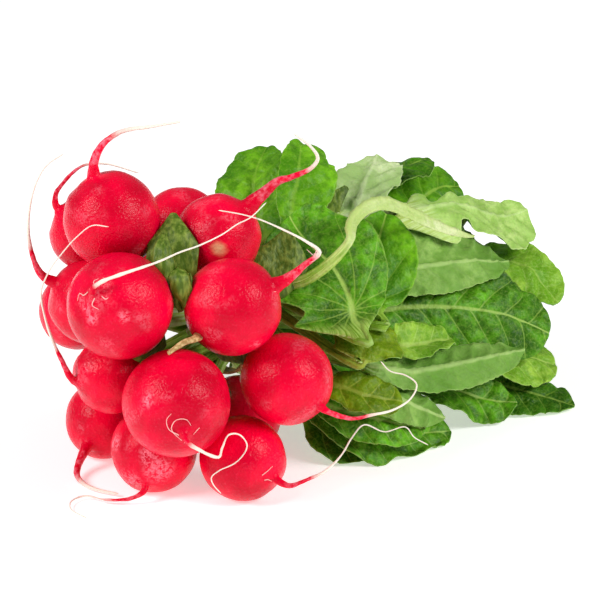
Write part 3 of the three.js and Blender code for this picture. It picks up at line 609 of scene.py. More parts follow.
def radish_piece(bulb, k, skin):
    """Bulb and taproot in one skin, lofted along the line through the bulb and down the root."""
    middle = np.array(bulb["at"], float)
    r = bulb["r"]
    root_way = unit(np.array(bulb["root"][0], float) - middle)
    start = middle + root_way * r * ROOT_START
    _, root_length = along([start, *bulb["root"]], [0])
    turns = np.linspace(*BULB_TURNS, BULB_RINGS)
    inside = r * np.cos(turns)
    root_runs = np.linspace(0, 1, int(root_length / RING_STEP) + 2)
    root_points, _ = along([start, *bulb["root"]], root_runs)
    centres = np.vstack([middle + root_way * inside[:, None], root_points[1:]])
    run = np.concatenate([inside - ROOT_START * r, root_runs[1:] * root_length])
    ball = np.sqrt(np.maximum(0, r * r - np.minimum(run + ROOT_START * r, r) ** 2))
    radius = (ball ** SHOULDER + root_radius(bulb, run) ** SHOULDER) ** (1 / SHOULDER)
    radius[-1] *= 0.5
    tangents, faces = carried(centres, SEAM_RING, SEAM_FACE)
    rings = [ring_points(c, f, np.cross(t, f), q, BULB_SIDES)
             for c, f, t, q in zip(centres, faces, tangents, radius)]
    points = np.vstack(rings + [centres[:1] - root_way * 0.02, centres[-1:] + tangents[-1] * 0.3])
    run_at = np.concatenate([np.repeat(run, BULB_SIDES), run[:1], run[-1:]])
    beyond = run_at - 0.2 * r
    outward = unit(points - middle)
    on_bulb = 1 - step(0, 5, run_at)
    lumps = sum(height * bumps(outward * 10, size, k + seed) for height, size, seed in BULB_LUMPS)
    to_crown = np.arccos(np.clip(outward @ crown_way(bulb), -1, 1))
    dimple = -DIMPLE_DEPTH * np.exp(-(to_crown / DIMPLE_WIDTH) ** 2)
    points = points + outward * (r * (lumps + dimple) * on_bulb)[:, None]
    creases = sum(height * bumps(points, size, k + seed) for height, size, seed in ROOT_CREASES)
    creases = creases * np.exp(-np.maximum(beyond, 0) / CREASE_REACH) * step(-2, 2, beyond)
    axis_at = np.vstack([np.repeat(centres, BULB_SIDES, axis=0), centres[:1], centres[-1:]])
    points = points + unit(points - axis_at) * creases[:, None]
    points[:, 2] = np.maximum(points[:, 2], 0.0)
    worn = WORN[0] * step(0.25, 0.5, bumps(points, WORN[1], k + 60))
    numbers = {
        "pale": step(bulb["fade"][0], bulb["fade"][1], beyond),
        "root_part": step(-1, 6, beyond),
        "crown_part": np.exp(-(to_crown / 0.3) ** 2) * on_bulb,
        "scar": spots_at(SCARS.get(bulb["name"], []), points),
        "scuff": np.maximum(spots_at(SCUFFS.get(bulb["name"], []), points), worn),
    }
    faces = tube_faces(len(centres), BULB_SIDES)
    piece = mesh_piece(bulb["name"] + "_skin", points, faces, [skin], numbers=numbers)
    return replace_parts(piece, bulb["name"])


# Spots on the skin: where, radius
SCARS = {
    "radish_upper": [((-9.5, -24.5, 76.5), 2.1)],
}
SCUFFS = {
    "radish_low_front": [
        ((-37, -28, 11), 4.5), ((-42, -13, 17), 2.6), ((-39, -26, 16), 3), ((-41, -20, 7), 3.5)],
    "radish_left": [
        ((-58, -18, 69), 1.6), ((-58, -21, 68), 1.8), ((-57, -23, 65), 2), ((-51, -31, 66), 1.6)],
    "radish_low_left": [((-46, -5, 41), 1.8)],
    "radish_middle": [((-14, -48, 53), 1.8)],
    "radish_front": [((-50, -41, 42), 2)],
}


def spots_at(spots, points):
    value = np.zeros(len(points))
    for place, radius in spots:
        away = np.linalg.norm(points - np.array(place, float), axis=1)
        value = np.maximum(value, 1 - step(radius * 0.5, radius * 1.4, away))
    return value


def weights_across(v):
    """Share of each of the five lines at `v`, for a smooth line through them."""
    s = (v + 1) * 2
    i = min(int(s), 3)
    w = s - i
    cubic = (-0.5 * w + w ** 2 - 0.5 * w ** 3, 1 - 2.5 * w ** 2 + 1.5 * w ** 3,
             0.5 * w + 2 * w ** 2 - 1.5 * w ** 3, -0.5 * w ** 2 + 0.5 * w ** 3)
    share = np.zeros(5)
    for k, q in zip(range(i - 1, i + 3), cubic):
        if k < 0:
            share[0] += 2 * q
            share[1] -= q
        elif k > 4:
            share[4] += 2 * q
            share[3] -= q
        else:
            share[k] += q
    return share


def fine_sheet(net, widest, blade_length):
    """Points of a fine leaf over its net: narrow up to the blade's base, with rounded corners at the tip."""
    rows = np.concatenate([np.linspace(0, NECK_ROWS, 22, endpoint=False),
                           np.linspace(NECK_ROWS, STALK_ROWS, 12, endpoint=False),
                           np.linspace(STALK_ROWS, LAST_ROW, int(blade_length / FINE_CELL))])
    across = np.linspace(-1, 1, 2 * int(widest / FINE_CELL) + 1)
    points = np.zeros((len(rows), len(across), 3))
    for c, v in enumerate(across):
        pulled = rows - TIP_ROUND * v * v * step(LAST_ROW - 3, LAST_ROW, rows)
        lines = np.stack([curve(net[:, j], pulled / LAST_ROW) for j in range(5)], axis=1)
        points[:, c] = np.einsum("rjx,j->rx", lines, weights_across(v))
    mid = len(across) // 2
    centre = points[:, mid:mid + 1]
    stalk_half = STALK_WIDTH / 2
    open_half = length_of(points[:, -1] - points[:, mid])[:, 0]
    kept = stalk_half + (open_half - stalk_half) * step(4.45, 5.0, rows)
    keep = np.where(rows < STALK_ROWS, kept / np.maximum(open_half, stalk_half), 1)
    return rows, across, centre + (points - centre) * keep[:, None, None]


def vein_places(more, x, y, widest):
    """Count of the veins and their spacing: a fan from the blade's base, or side veins off the midrib."""
    if "fan" in more:
        ahead_of = x - more["fan"]
        return np.arctan2(np.abs(y), ahead_of) / FAN_ANGLE, np.hypot(ahead_of, y) * FAN_ANGLE
    pitch = VEIN_SPACING + 0.14 * widest
    vein = (x - np.abs(y) * VEIN_ANGLE - y * y * 0.012) / pitch + VEIN_OFFSET * (y > 0)
    return vein, np.full(y.shape, pitch * 0.8)


def leaf_piece(k, net, looks):
    """A leaf in one closed sheet on its net: a fleshy stalk, then a toothed, veined and puckered blade."""
    name, wide, _, _, rib, more = LEAVES[k]
    _, blade_length = along(rib, [0])
    widest = max(pair(wide))
    calm = CALM if "smooth" in more else 1
    rows, across, points = fine_sheet(net, widest, blade_length)
    columns = len(across)
    mid = columns // 2
    leaf = step(4.6, 5.15, rows)[:, None]
    run = run_of(points[:, mid])
    x = np.repeat((run - np.interp(STALK_ROWS, rows, run))[:, None], columns, axis=1)
    gaps = length_of(np.diff(points, axis=1))[..., 0]
    y = np.concatenate([np.zeros((len(rows), 1)), np.cumsum(gaps, axis=1)], axis=1)
    y = y - y[:, mid:mid + 1]
    half = np.where(across[None, :] < 0, -y[:, :1], y[:, -1:])
    share = np.abs(y) / np.maximum(half, 0.1)
    edge_run = np.where(across[None, :] < 0, run_of(points[:, 0])[:, None], run_of(points[:, -1])[:, None])
    over = unit(np.gradient(points, axis=1))
    ahead = unit(np.gradient(points, axis=0))
    # Rounded teeth along the margin
    pitch = TEETH[1] + widest / 30
    swing = bumps(np.stack([edge_run.ravel(), np.sign(y).ravel() * 40, np.full(y.size, 7.0 * k)], 1), 11, k)
    swing = swing.reshape(y.shape)
    tooth = np.abs(np.sin(math.pi * (edge_run / pitch + 0.9 * swing + 0.3 * k))) ** 0.7 - 0.6
    lobe_count = edge_run / (LOBES[1] * pitch) + 0.6 * swing + 0.7 * k
    lobe = np.abs(np.sin(math.pi * lobe_count)) ** 0.6 - 0.6
    reach = calm * (TEETH[0] * tooth + LOBES[0] * lobe) * step(0.76, 1, share) * leaf
    points = points + over * (np.sign(across)[None, :] * reach)[..., None]
    # Relief: grooves along the veins, pillows between them, puckers, and a ruffled margin
    vein, gap = vein_places(more, x, y, widest)
    to_vein = np.abs(vein - np.round(vein)) * gap
    to_rib = np.abs(y)
    groove = -VEIN_GROOVE[0] * np.exp(-(to_vein / VEIN_GROOVE[1]) ** 2) * (1 - 0.6 * share)
    groove = groove - RIB_GROOVE[0] * np.exp(-(to_rib / RIB_GROOVE[1]) ** 2)
    pillow = PILLOW * np.clip(to_vein / 3.2, 0, 1) ** 0.7 * np.clip(to_rib / 3, 0, 1)
    flat = points.reshape(-1, 3)
    pucker = sum(height * bumps(flat, size, k + seed) for height, size, seed in PUCKERS).reshape(y.shape)
    waves = (np.sin(2 * math.pi * edge_run / RUFFLE_RUNS[0] + 1.7 * k + 2 * swing)
             + 0.4 * np.sin(2 * math.pi * edge_run / RUFFLE_RUNS[1] + k))
    lift = groove + pillow + pucker * (0.3 + 0.7 * share) + RUFFLE * share ** 3 * waves
    points = points + unit(np.cross(over, ahead)) * (lift * leaf * calm)[..., None]
    over = unit(np.gradient(points, axis=1))
    ahead = unit(np.gradient(points, axis=0))
    normal = unit(np.cross(over, ahead))
    # Thickness: a rounded stalk with a shallow channel, then a thin blade on its midrib and side veins
    taper = 1 - np.clip(x / max(blade_length, 1), 0, 1)
    stalk_low = STALK_THICK / 2 * np.sqrt(np.maximum(0.004, 1 - across[None, :] ** 2))
    stalk_top = stalk_low - STALK_CHANNEL * np.exp(-(across[None, :] / 0.35) ** 2)
    show = SHOWN_VEINS.get(name, 0.8)
    rib_low = (0.35 + 1.3 * taper) * (0.3 + 0.7 * show) * np.exp(-(to_rib / (0.5 + 0.7 * taper)) ** 2)
    vein_low = VEIN_PROUD * np.exp(-(to_vein / 0.5) ** 2) * (1 - 0.7 * share)
    thin = FINE_BLADE / 2 * np.sqrt(np.maximum(0.1, 1 - share ** 6))
    top = points + normal * (stalk_top * (1 - leaf) + thin * leaf)[..., None]
    low = points - normal * (stalk_low * (1 - leaf) + (thin + rib_low + vein_low) * leaf)[..., None]
    count = len(rows) * columns
    both = np.vstack([top.reshape(-1, 3), low.reshape(-1, 3)])
    both[:, 2] = np.maximum(both[:, 2], 0.05)
    faces, sides = sheet_faces(len(rows), columns, count)
    numbers = {
        "vein": np.tile(vein.ravel(), 2),
        "vein_gap": np.tile(gap.ravel(), 2),
        "from_rib": np.tile(to_rib.ravel(), 2),
        "share": np.tile(share.ravel(), 2),
        "blade": np.tile(np.repeat(leaf, columns, axis=1).ravel(), 2),
        "taper": np.tile(taper.ravel(), 2),
        "show": np.full(2 * count, show),
    }
    flat_places = np.tile(np.stack([x.ravel(), y.ravel()], 1) / 100 + 0.5, (2, 1))
    upper = looks["upper " + more.get("look", "fresh")]
    under = looks["under " + more.get("under", "grey")]
    piece = mesh_piece("leaf_" + name + "_blade", both, faces, [upper, under], sides, numbers, flat_places)
    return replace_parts(piece, "leaf_" + name)


def run_of(line):
    return np.concatenate([[0], np.cumsum(length_of(np.diff(line, axis=0))[:, 0])])


def sheet_faces(rows, columns, count):
    """Quads of the upper and lower face of a sheet and of its rim, and the material of each."""
    faces = []
    sides = []
    for i in range(rows - 1):
        for j in range(columns - 1):
            a = i * columns + j
            faces.append((a, a + 1, a + columns + 1, a + columns))
            sides.append(0)
            faces.append((a + count, a + count + columns, a + count + columns + 1, a + count + 1))
            sides.append(1)
    rim = list(range(columns)) + [i * columns + columns - 1 for i in range(1, rows)]
    rim += [(rows - 1) * columns + j for j in range(columns - 2, -1, -1)]
    rim += [i * columns for i in range(rows - 2, 0, -1)]
    for a, b in zip(rim, rim[1:] + rim[:1]):
        faces.append((b, a, a + count, b + count))
        sides.append(1)
    return faces, sides


# Materials

def linear(code):
    """sRGB hex to the linear colour that a socket takes."""
    parts = [int(code[i:i + 2], 16) / 255 for i in (1, 3, 5)]
    return [c / 12.92 if c <= 0.04045 else ((c + 0.055) / 1.055) ** 2.4 for c in parts] + [1.0]


def add(tree, kind, inputs=None, out=0, stops=(), **settings):
    """Adds a node with its settings, colour stops and links, and gives back one of its outputs."""
    node = tree.nodes.new(kind)
    for key, value in settings.items():
        setattr(node, key, value)
    for k, (place, value) in enumerate(stops):
        stop = node.color_ramp.elements[k] if k < 2 else node.color_ramp.elements.new(place)
        stop.position = place
        stop.color = (value, value, value, 1)
    for key, value in (inputs or {}).items():
        if isinstance(value, bpy.types.NodeSocket):
            tree.links.new(value, node.inputs[key])
        else:
            node.inputs[key].default_value = value
    return node.outputs[out] if node.outputs else node


def new_material(name):
    material = bpy.data.materials.new(name)
    material.use_nodes = True
    material.node_tree.nodes.clear()
    return material, material.node_tree


SKIN_TONE = 14.0  # width of a patch of deeper or lighter red
SKIN_PORE = 0.8  # width of a pit of the skin, some three times as coarse as a real one so that it shows
SCUFF_STREAK = 1.3  # width of a streak in a scuffed place
ROOT_STREAK = 1.6  # width of a pale patch of a taproot


def radish_skin():
    """Fresh radish skin, grown smooth and rinsed: crimson, its soft highlights broken up by fine pits, with
    scuffs that show the pink flesh and a taproot that fades to cream."""
    material, tree = new_material("rinsed_radish_skin")
    place = add(tree, "ShaderNodeTexCoord", out="Object")
    tone = add(tree, "ShaderNodeTexNoise", {"Vector": place, "Scale": 1000 / SKIN_TONE, "Detail": 4})
    pores = add(tree, "ShaderNodeTexNoise", {"Vector": place, "Scale": 1000 / SKIN_PORE, "Detail": 2})
    streaks = add(tree, "ShaderNodeTexNoise", {
        "Vector": place, "Scale": 1000 / SCUFF_STREAK, "Detail": 4, "Distortion": 1.4})
    fibres = add(tree, "ShaderNodeTexNoise", {"Vector": place, "Scale": 1000 / ROOT_STREAK, "Detail": 4})
    pale = add(tree, "ShaderNodeAttribute", out="Fac", attribute_name="pale")
    root = add(tree, "ShaderNodeAttribute", out="Fac", attribute_name="root_part")
    crown = add(tree, "ShaderNodeAttribute", out="Fac", attribute_name="crown_part")
    scar = add(tree, "ShaderNodeAttribute", out="Fac", attribute_name="scar")
    scuff = add(tree, "ShaderNodeAttribute", out="Fac", attribute_name="scuff")
    deep_or_light = add(tree, "ShaderNodeValToRGB", {0: tone}, stops=((0.34, 0), (0.66, 1)))
    red = add(tree, "ShaderNodeMix", {0: deep_or_light, 6: linear("#C80026"), 7: linear("#F80038")}, 2,
              data_type="RGBA")
    speck = add(tree, "ShaderNodeValToRGB", {0: pores}, stops=((0.56, 0), (0.76, 0.16)))
    red = add(tree, "ShaderNodeMix", {0: speck, 6: red, 7: linear("#FF5078")}, 2, data_type="RGBA")
    fleshy = add(tree, "ShaderNodeMath", {0: root, 1: fibres}, operation="MULTIPLY")
    fleshy = add(tree, "ShaderNodeValToRGB", {0: fleshy}, stops=((0.42, 0), (0.7, 0.7)))
    red = add(tree, "ShaderNodeMix", {0: fleshy, 6: red, 7: linear("#F4889A")}, 2, data_type="RGBA")
    rubbed = add(tree, "ShaderNodeValToRGB", {0: streaks}, stops=((0.42, 0), (0.62, 0.75)))
    rubbed = add(tree, "ShaderNodeMath", {0: rubbed, 1: scuff}, operation="MULTIPLY")
    red = add(tree, "ShaderNodeMix", {0: rubbed, 6: red, 7: linear("#FA8C9E")}, 2, data_type="RGBA")
    patchy = add(tree, "ShaderNodeMath", {0: pale, 1: 1.9, 2: -0.45}, operation="MULTIPLY_ADD")
    patchy = add(tree, "ShaderNodeMath", {0: patchy, 1: fibres}, operation="ADD")
    patchy = add(tree, "ShaderNodeValToRGB", {0: patchy}, stops=((0.35, 0), (0.95, 1)))
    patchy = add(tree, "ShaderNodeMath", {0: patchy, 1: pale}, operation="MULTIPLY")
    patchy = add(tree, "ShaderNodeMath", {0: patchy, 1: 0.6}, operation="POWER")
    colour = add(tree, "ShaderNodeMix", {0: patchy, 6: red, 7: linear("#F6EBDC")}, 2, data_type="RGBA")
    shoulder = add(tree, "ShaderNodeMath", {0: crown, 1: 0.75}, operation="MULTIPLY")
    colour = add(tree, "ShaderNodeMix", {0: shoulder, 6: colour, 7: linear("#6E5A2C")}, 2, data_type="RGBA")
    colour = add(tree, "ShaderNodeMix", {0: scar, 6: colour, 7: linear("#E2AE80")}, 2, data_type="RGBA")
    pits = add(tree, "ShaderNodeBump", {"Height": pores, "Strength": 0.8, "Distance": 0.0003})
    waves = add(tree, "ShaderNodeBump", {"Height": tone, "Strength": 0.3, "Distance": 0.001, "Normal": pits})
    rough = add(tree, "ShaderNodeMapRange", {"Value": patchy, "To Min": 0.24, "To Max": 0.55})
    surface = add(tree, "ShaderNodeBsdfPrincipled", {
        "Base Color": colour, "Roughness": rough, "Specular IOR Level": 0.13, "Subsurface Weight": 0.03,
        "Subsurface Scale": 0.002, "Subsurface Radius": (1.0, 0.25, 0.2), "Normal": waves})
    add(tree, "ShaderNodeOutputMaterial", {"Surface": surface})
    return material


LEAF_TONE = 16.0  # width of a patch of deeper or lighter green
# The hollows of the leaves' puckers are painted darker, as shade
LEAF_MOTTLE = 3.2  # width of a pucker's dark hollow
LEAF_CELL = 2.3  # mesh of the finest veins, drawn twice as coarse as real ones so that it shows
LEAF_GRAIN = 0.9  # width of a light speck of the blade
STALK_STREAK = (14.0, 0.8)  # length and width of a streak along a stalk


def leaf_finish(name, blade, shade, vein, rib, stalk, net=0.15, streaky=0.0, roughness=0.42):
    """One side of a fresh radish leaf, grown as a puckered blade between veins: satin, mottled at random with
    lighter and deeper green, with painted shade in the hollows of its puckers, pale veins and a streaked
    fleshy stalk."""
    material, tree = new_material(name)
    place = add(tree, "ShaderNodeTexCoord", out="Object")
    sheet = add(tree, "ShaderNodeUVMap", uv_map="sheet")
    tone = add(tree, "ShaderNodeTexNoise", {"Vector": place, "Scale": 1000 / LEAF_TONE, "Detail": 2})
    pucker_relief = add(tree, "ShaderNodeTexNoise", {"Vector": place, "Scale": 1000 / LEAF_MOTTLE, "Detail": 3})
    grain = add(tree, "ShaderNodeTexNoise", {"Vector": place, "Scale": 1000 / LEAF_GRAIN, "Detail": 2})
    cells = add(tree, "ShaderNodeTexVoronoi", {"Vector": place, "Scale": 1000 / LEAF_CELL},
                feature="DISTANCE_TO_EDGE")
    lengthways = add(tree, "ShaderNodeMapping", {
        "Vector": sheet, "Scale": (100 / STALK_STREAK[0], 100 / STALK_STREAK[1], 1)})
    streak = add(tree, "ShaderNodeTexNoise", {"Vector": lengthways, "Scale": 1, "Detail": 3})
    show = add(tree, "ShaderNodeAttribute", out="Fac", attribute_name="show")
    taper = add(tree, "ShaderNodeAttribute", out="Fac", attribute_name="taper")
    share = add(tree, "ShaderNodeAttribute", out="Fac", attribute_name="share")
    lighter = add(tree, "ShaderNodeValToRGB", {0: tone}, stops=((0.34, 0), (0.66, 1)))
    colour = add(tree, "ShaderNodeMix", {0: lighter, 6: linear(shade), 7: linear(blade)}, 2, data_type="RGBA")
    # Painted shade: where the pucker relief is low, in its hollows, the blade is darkened towards the deeper
    # green
    dark = add(tree, "ShaderNodeValToRGB", {0: pucker_relief}, stops=((0.38, 0.75), (0.6, 0)))
    colour = add(tree, "ShaderNodeMix", {0: dark, 6: colour, 7: linear(shade)}, 2, data_type="RGBA")
    light = add(tree, "ShaderNodeValToRGB", {0: grain}, stops=((0.48, 0), (0.72, 0.25)))
    colour = add(tree, "ShaderNodeMix", {0: light, 6: colour, 7: linear(vein)}, 2, data_type="RGBA")
    mesh_line = add(tree, "ShaderNodeValToRGB", {0: cells}, stops=((0.0, net), (0.07, 0)))
    colour = add(tree, "ShaderNodeMix", {0: mesh_line, 6: colour, 7: linear(vein)}, 2, data_type="RGBA")
    # Side veins, which narrow towards the margin
    vein_place = add(tree, "ShaderNodeAttribute", out="Fac", attribute_name="vein")
    vein_gap = add(tree, "ShaderNodeAttribute", out="Fac", attribute_name="vein_gap")
    off_vein = add(tree, "ShaderNodeMath", {0: vein_place, 1: 0.5}, operation="PINGPONG")
    off_vein = add(tree, "ShaderNodeMath", {0: off_vein, 1: vein_gap}, operation="MULTIPLY")
    vein_width = add(tree, "ShaderNodeMath", {0: share, 1: -0.7, 2: 1.0}, operation="MULTIPLY_ADD")
    off_vein = add(tree, "ShaderNodeMath", {0: off_vein, 1: vein_width}, operation="DIVIDE")
    on_vein = add(tree, "ShaderNodeValToRGB", {0: off_vein}, stops=((0.1, 0.5), (0.5, 0)))
    on_vein = add(tree, "ShaderNodeMath", {0: on_vein, 1: show}, operation="MULTIPLY")
    colour = add(tree, "ShaderNodeMix", {0: on_vein, 6: colour, 7: linear(vein)}, 2, data_type="RGBA")
    from_rib = add(tree, "ShaderNodeAttribute", out="Fac", attribute_name="from_rib")
    rib_width = add(tree, "ShaderNodeMath", {0: taper, 1: 1.2, 2: 0.35}, operation="MULTIPLY_ADD")
    off_rib = add(tree, "ShaderNodeMath", {0: from_rib, 1: rib_width}, operation="DIVIDE")
    on_rib = add(tree, "ShaderNodeValToRGB", {0: off_rib}, stops=((0.4, 1), (0.95, 0)))
    rib_shows = add(tree, "ShaderNodeMath", {0: show, 1: 0.6, 2: 0.15}, operation="MULTIPLY_ADD")
    on_rib = add(tree, "ShaderNodeMath", {0: on_rib, 1: rib_shows}, operation="MULTIPLY")
    colour = add(tree, "ShaderNodeMix", {0: on_rib, 6: colour, 7: linear(rib)}, 2, data_type="RGBA")
    margin = add(tree, "ShaderNodeValToRGB", {0: share}, stops=((0.96, 0), (0.99, 0.35)))
    colour = add(tree, "ShaderNodeMix", {0: margin, 6: colour, 7: linear(rib)}, 2, data_type="RGBA")
    # The stalk, which is streaked along its length
    fibre = add(tree, "ShaderNodeValToRGB", {0: streak}, stops=((0.4, 0), (0.62, 1)))
    fleshy = add(tree, "ShaderNodeMix", {0: fibre, 6: linear(stalk), 7: linear(rib)}, 2, data_type="RGBA")
    opened = add(tree, "ShaderNodeAttribute", out="Fac", attribute_name="blade")
    fibrous = add(tree, "ShaderNodeMath", {0: opened, 1: streaky - 1, 2: 1}, operation="MULTIPLY_ADD")
    colour = add(tree, "ShaderNodeMix", {0: fibrous, 6: colour, 7: fleshy}, 2, data_type="RGBA")
    raised = add(tree, "ShaderNodeMath", {0: mesh_line, 1: -1.6, 2: grain}, operation="MULTIPLY_ADD")
    fine = add(tree, "ShaderNodeBump", {"Height": raised, "Strength": 0.35, "Distance": 0.0003})
    crinkle = add(tree, "ShaderNodeBump", {
        "Height": pucker_relief, "Strength": 0.8, "Distance": 0.0012, "Normal": fine})
    surface = add(tree, "ShaderNodeBsdfPrincipled", {
        "Base Color": colour, "Roughness": roughness, "Specular IOR Level": 0.16, "Subsurface Weight": 0.08,
        "Subsurface Scale": 0.0012, "Subsurface Radius": (0.5, 1.0, 0.15), "Normal": crinkle})
    add(tree, "ShaderNodeOutputMaterial", {"Surface": surface})
    return material


DRY_FIBRE = 1.1  # width of a fibre of a dried crown or stalk


def crown_skin():
    """Corky crown where the stalks leave the bulb, grown ribbed and a little dried: olive and tan, with
    purple-brown in its furrows."""
    material, tree = new_material("corky_crown")
    place = add(tree, "ShaderNodeTexCoord", out="Object")
    tone = add(tree, "ShaderNodeTexNoise", {"Vector": place, "Scale": 1000 / LEAF_MOTTLE, "Detail": 3})
    fibre = add(tree, "ShaderNodeTexNoise", {"Vector": place, "Scale": 1000 / DRY_FIBRE, "Detail": 3})
    olive = add(tree, "ShaderNodeMix", {0: tone, 6: linear("#4C5A1E"), 7: linear("#A09058")}, 2,
                data_type="RGBA")
    furrow = add(tree, "ShaderNodeValToRGB", {0: fibre}, stops=((0.42, 0.8), (0.58, 0)))
    colour = add(tree, "ShaderNodeMix", {0: furrow, 6: olive, 7: linear("#4A2028")}, 2, data_type="RGBA")
    ridges = add(tree, "ShaderNodeBump", {"Height": fibre, "Strength": 0.6, "Distance": 0.0005})
    surface = add(tree, "ShaderNodeBsdfPrincipled", {
        "Base Color": colour, "Roughness": 0.6, "Normal": ridges})
    add(tree, "ShaderNodeOutputMaterial", {"Surface": surface})
    return material


YOUNG_PLEAT = 1.3  # width of a pleat


def young_leaf():
    """Young leaf, still rolled and pleated: olive green, with a painted cream highlight along the top of each
    pleat, olive in the furrows.
    """
    material, tree = new_material("rolled_young_leaf")
    place = add(tree, "ShaderNodeTexCoord", out="Object")
    upright = add(tree, "ShaderNodeMapping", {"Vector": place, "Scale": (1, 1, 0.3)})
    pleat = add(tree, "ShaderNodeTexNoise", {"Vector": upright, "Scale": 1000 / YOUNG_PLEAT, "Detail": 3})
    # Painted highlight: the tops of the pleats, high in the same relief as the bump, are lightened towards
    # cream
    light = add(tree, "ShaderNodeValToRGB", {0: pleat}, stops=((0.42, 0), (0.74, 0.7)))
    colour = add(tree, "ShaderNodeMix", {0: light, 6: linear("#46620A"), 7: linear("#98AC48")}, 2,
                 data_type="RGBA")
    folds = add(tree, "ShaderNodeBump", {"Height": pleat, "Strength": 0.7, "Distance": 0.0006})
    surface = add(tree, "ShaderNodeBsdfPrincipled", {
        "Base Color": colour, "Roughness": 0.5, "Specular IOR Level": 0.3, "Normal": folds})
    add(tree, "ShaderNodeOutputMaterial", {"Surface": surface})
    return material


def withered_stalk():
    """Withered leaf stalk, dried to tan straw: matte, with long darker fibres."""
    material, tree = new_material("straw_dry_stalk")
    place = add(tree, "ShaderNodeTexCoord", out="Object")
    fibre = add(tree, "ShaderNodeTexNoise", {"Vector": place, "Scale": 1000 / DRY_FIBRE, "Detail": 3})
    share = add(tree, "ShaderNodeValToRGB", {0: fibre}, stops=((0.4, 0), (0.62, 1)))
    colour = add(tree, "ShaderNodeMix", {0: share, 6: linear("#A07C46"), 7: linear("#D4B880")}, 2,
                 data_type="RGBA")
    ridges = add(tree, "ShaderNodeBump", {"Height": fibre, "Strength": 0.5, "Distance": 0.0004})
    surface = add(tree, "ShaderNodeBsdfPrincipled", {
        "Base Color": colour, "Roughness": 0.7, "Normal": ridges})
    add(tree, "ShaderNodeOutputMaterial", {"Surface": surface})
    return material


def root_hair():
    """Hair-thin side root, grown white and dried: matte cream, tinged with pink in places."""
    material, tree = new_material("dry_root_hair")
    place = add(tree, "ShaderNodeTexCoord", out="Object")
    tone = add(tree, "ShaderNodeTexNoise", {"Vector": place, "Scale": 1000 / SCUFF_STREAK, "Detail": 2})
    colour = add(tree, "ShaderNodeMix", {0: tone, 6: linear("#F08C98"), 7: linear("#F4DCCB")}, 2,
                 data_type="RGBA")
    surface = add(tree, "ShaderNodeBsdfPrincipled", {"Base Color": colour, "Roughness": 0.6})
    add(tree, "ShaderNodeOutputMaterial", {"Surface": surface})
    return material


RUBBER_DUST = 1.1  # width of a dusty patch


def rubber_band():
    """Tan natural rubber of a produce band, moulded in one piece: slightly dusty, with a soft sheen."""
    material, tree = new_material("tan_rubber_band")
    place = add(tree, "ShaderNodeTexCoord", out="Object")
    dust = add(tree, "ShaderNodeTexNoise", {"Vector": place, "Scale": 1000 / RUBBER_DUST, "Detail": 3})
    colour = add(tree, "ShaderNodeMix", {0: dust, 6: linear("#A87F49"), 7: linear("#C9A268")}, 2,
                 data_type="RGBA")
    bump = add(tree, "ShaderNodeBump", {"Height": dust, "Strength": 0.3, "Distance": 0.0002})
    surface = add(tree, "ShaderNodeBsdfPrincipled", {
        "Base Color": colour, "Roughness": 0.6, "IOR": 1.52, "Normal": bump})
    add(tree, "ShaderNodeOutputMaterial", {"Surface": surface})
    return material


def strand(path, radii, sides, count, flat=1.0, face=(0, 0, 1)):
    """Points and rings of a tapered rod along a path; `flat` narrows it towards `face`."""
    shares = np.linspace(0, 1, count)
    centres, _ = along(path, shares)
    tangents, faces = carried(centres, count // 2, face)
    sizes = np.interp(shares, np.linspace(0, 1, len(radii)), radii)
    rings = [ring_points(c, f * flat, np.cross(t, f), q, sides)
             for c, t, f, q in zip(centres, tangents, faces, sizes)]
    ends = [centres[:1] - tangents[:1] * radii[0] * 0.3, centres[-1:] + tangents[-1:] * radii[-1] * 0.3]
    return np.vstack(rings + ends)


def strands_piece(name, strands, sides, count, material):
    points = []
    faces = []
    for rings in strands:
        faces += tube_faces(count, sides, sum(len(p) for p in points))
        points.append(rings)
    piece = mesh_piece(name, np.vstack(points), faces, [material])


HAIR = 0.14  # radius
HAIR_SIDES = 5
HAIR_RINGS = 14
# Root hairs: radish they lie on, and their line
HAIRS = [
    ("radish_front", [(-44, -49, 30), (-47, -48, 34), (-46, -49, 37), (-43, -50, 37), (-42, -51, 35)]),
    ("radish_front", [(-43, -49, 29), (-41, -51, 32), (-39, -52, 34), (-38, -51, 30), (-40, -50, 29)]),
    ("radish_front", [(-45, -49, 32), (-47, -47, 34), (-48, -47, 37), (-47, -48, 39)]),
    ("radish_left", [(-56, -20, 72), (-57, -19, 71), (-57, -17, 71), (-58, -17, 69)]),
    ("radish_left", [(-55, -25, 72), (-54, -26, 71), (-53, -27, 72), (-53, -28, 70)]),
    ("radish_left", [(-55, -23, 73), (-54, -20, 75), (-53, -21, 76)]),
    ("radish_left", [(-56, -23, 71), (-57, -23, 69), (-56, -25, 68)]),
    ("radish_upper", [(-14, -9, 74), (-14, -9, 72), (-14, -13, 71), (-12, -15, 68)]),
    ("radish_middle", [(-10, -48, 69), (-5, -47, 68), (0, -44, 67)]),
    ("radish_middle", [(-6, -45, 71), (-2, -41, 70), (0, -43, 71)]),
    ("radish_low_right", [(-16, -53, 12), (-14, -53, 13), (-12, -53, 14)]),
    ("radish_low_right", [(-15, -53, 10), (-14, -53, 10), (-12, -52, 9)]),
    ("", [(5, -54, 81), (3, -55, 80), (1, -54, 82)]),
    ("", [(4, -54, 80), (3, -56, 79), (2, -55, 78)]),
]


def hairs_piece(material):
    """Curled and broken root hairs, which lie on the bulbs or stand off a root."""
    places = {bulb["name"]: bulb for bulb in BULBS}
    strands = []
    for name, line in HAIRS:
        line = np.array(line, float)
        if name:
            middle = np.array(places[name]["at"], float)
            line = middle + unit(line - middle) * (places[name]["r"] + HAIR)
        strands.append(strand(line, [HAIR * 1.3, HAIR, HAIR * 0.6], HAIR_SIDES, HAIR_RINGS))
    strands_piece("root_hairs", strands, HAIR_SIDES, HAIR_RINGS, material)


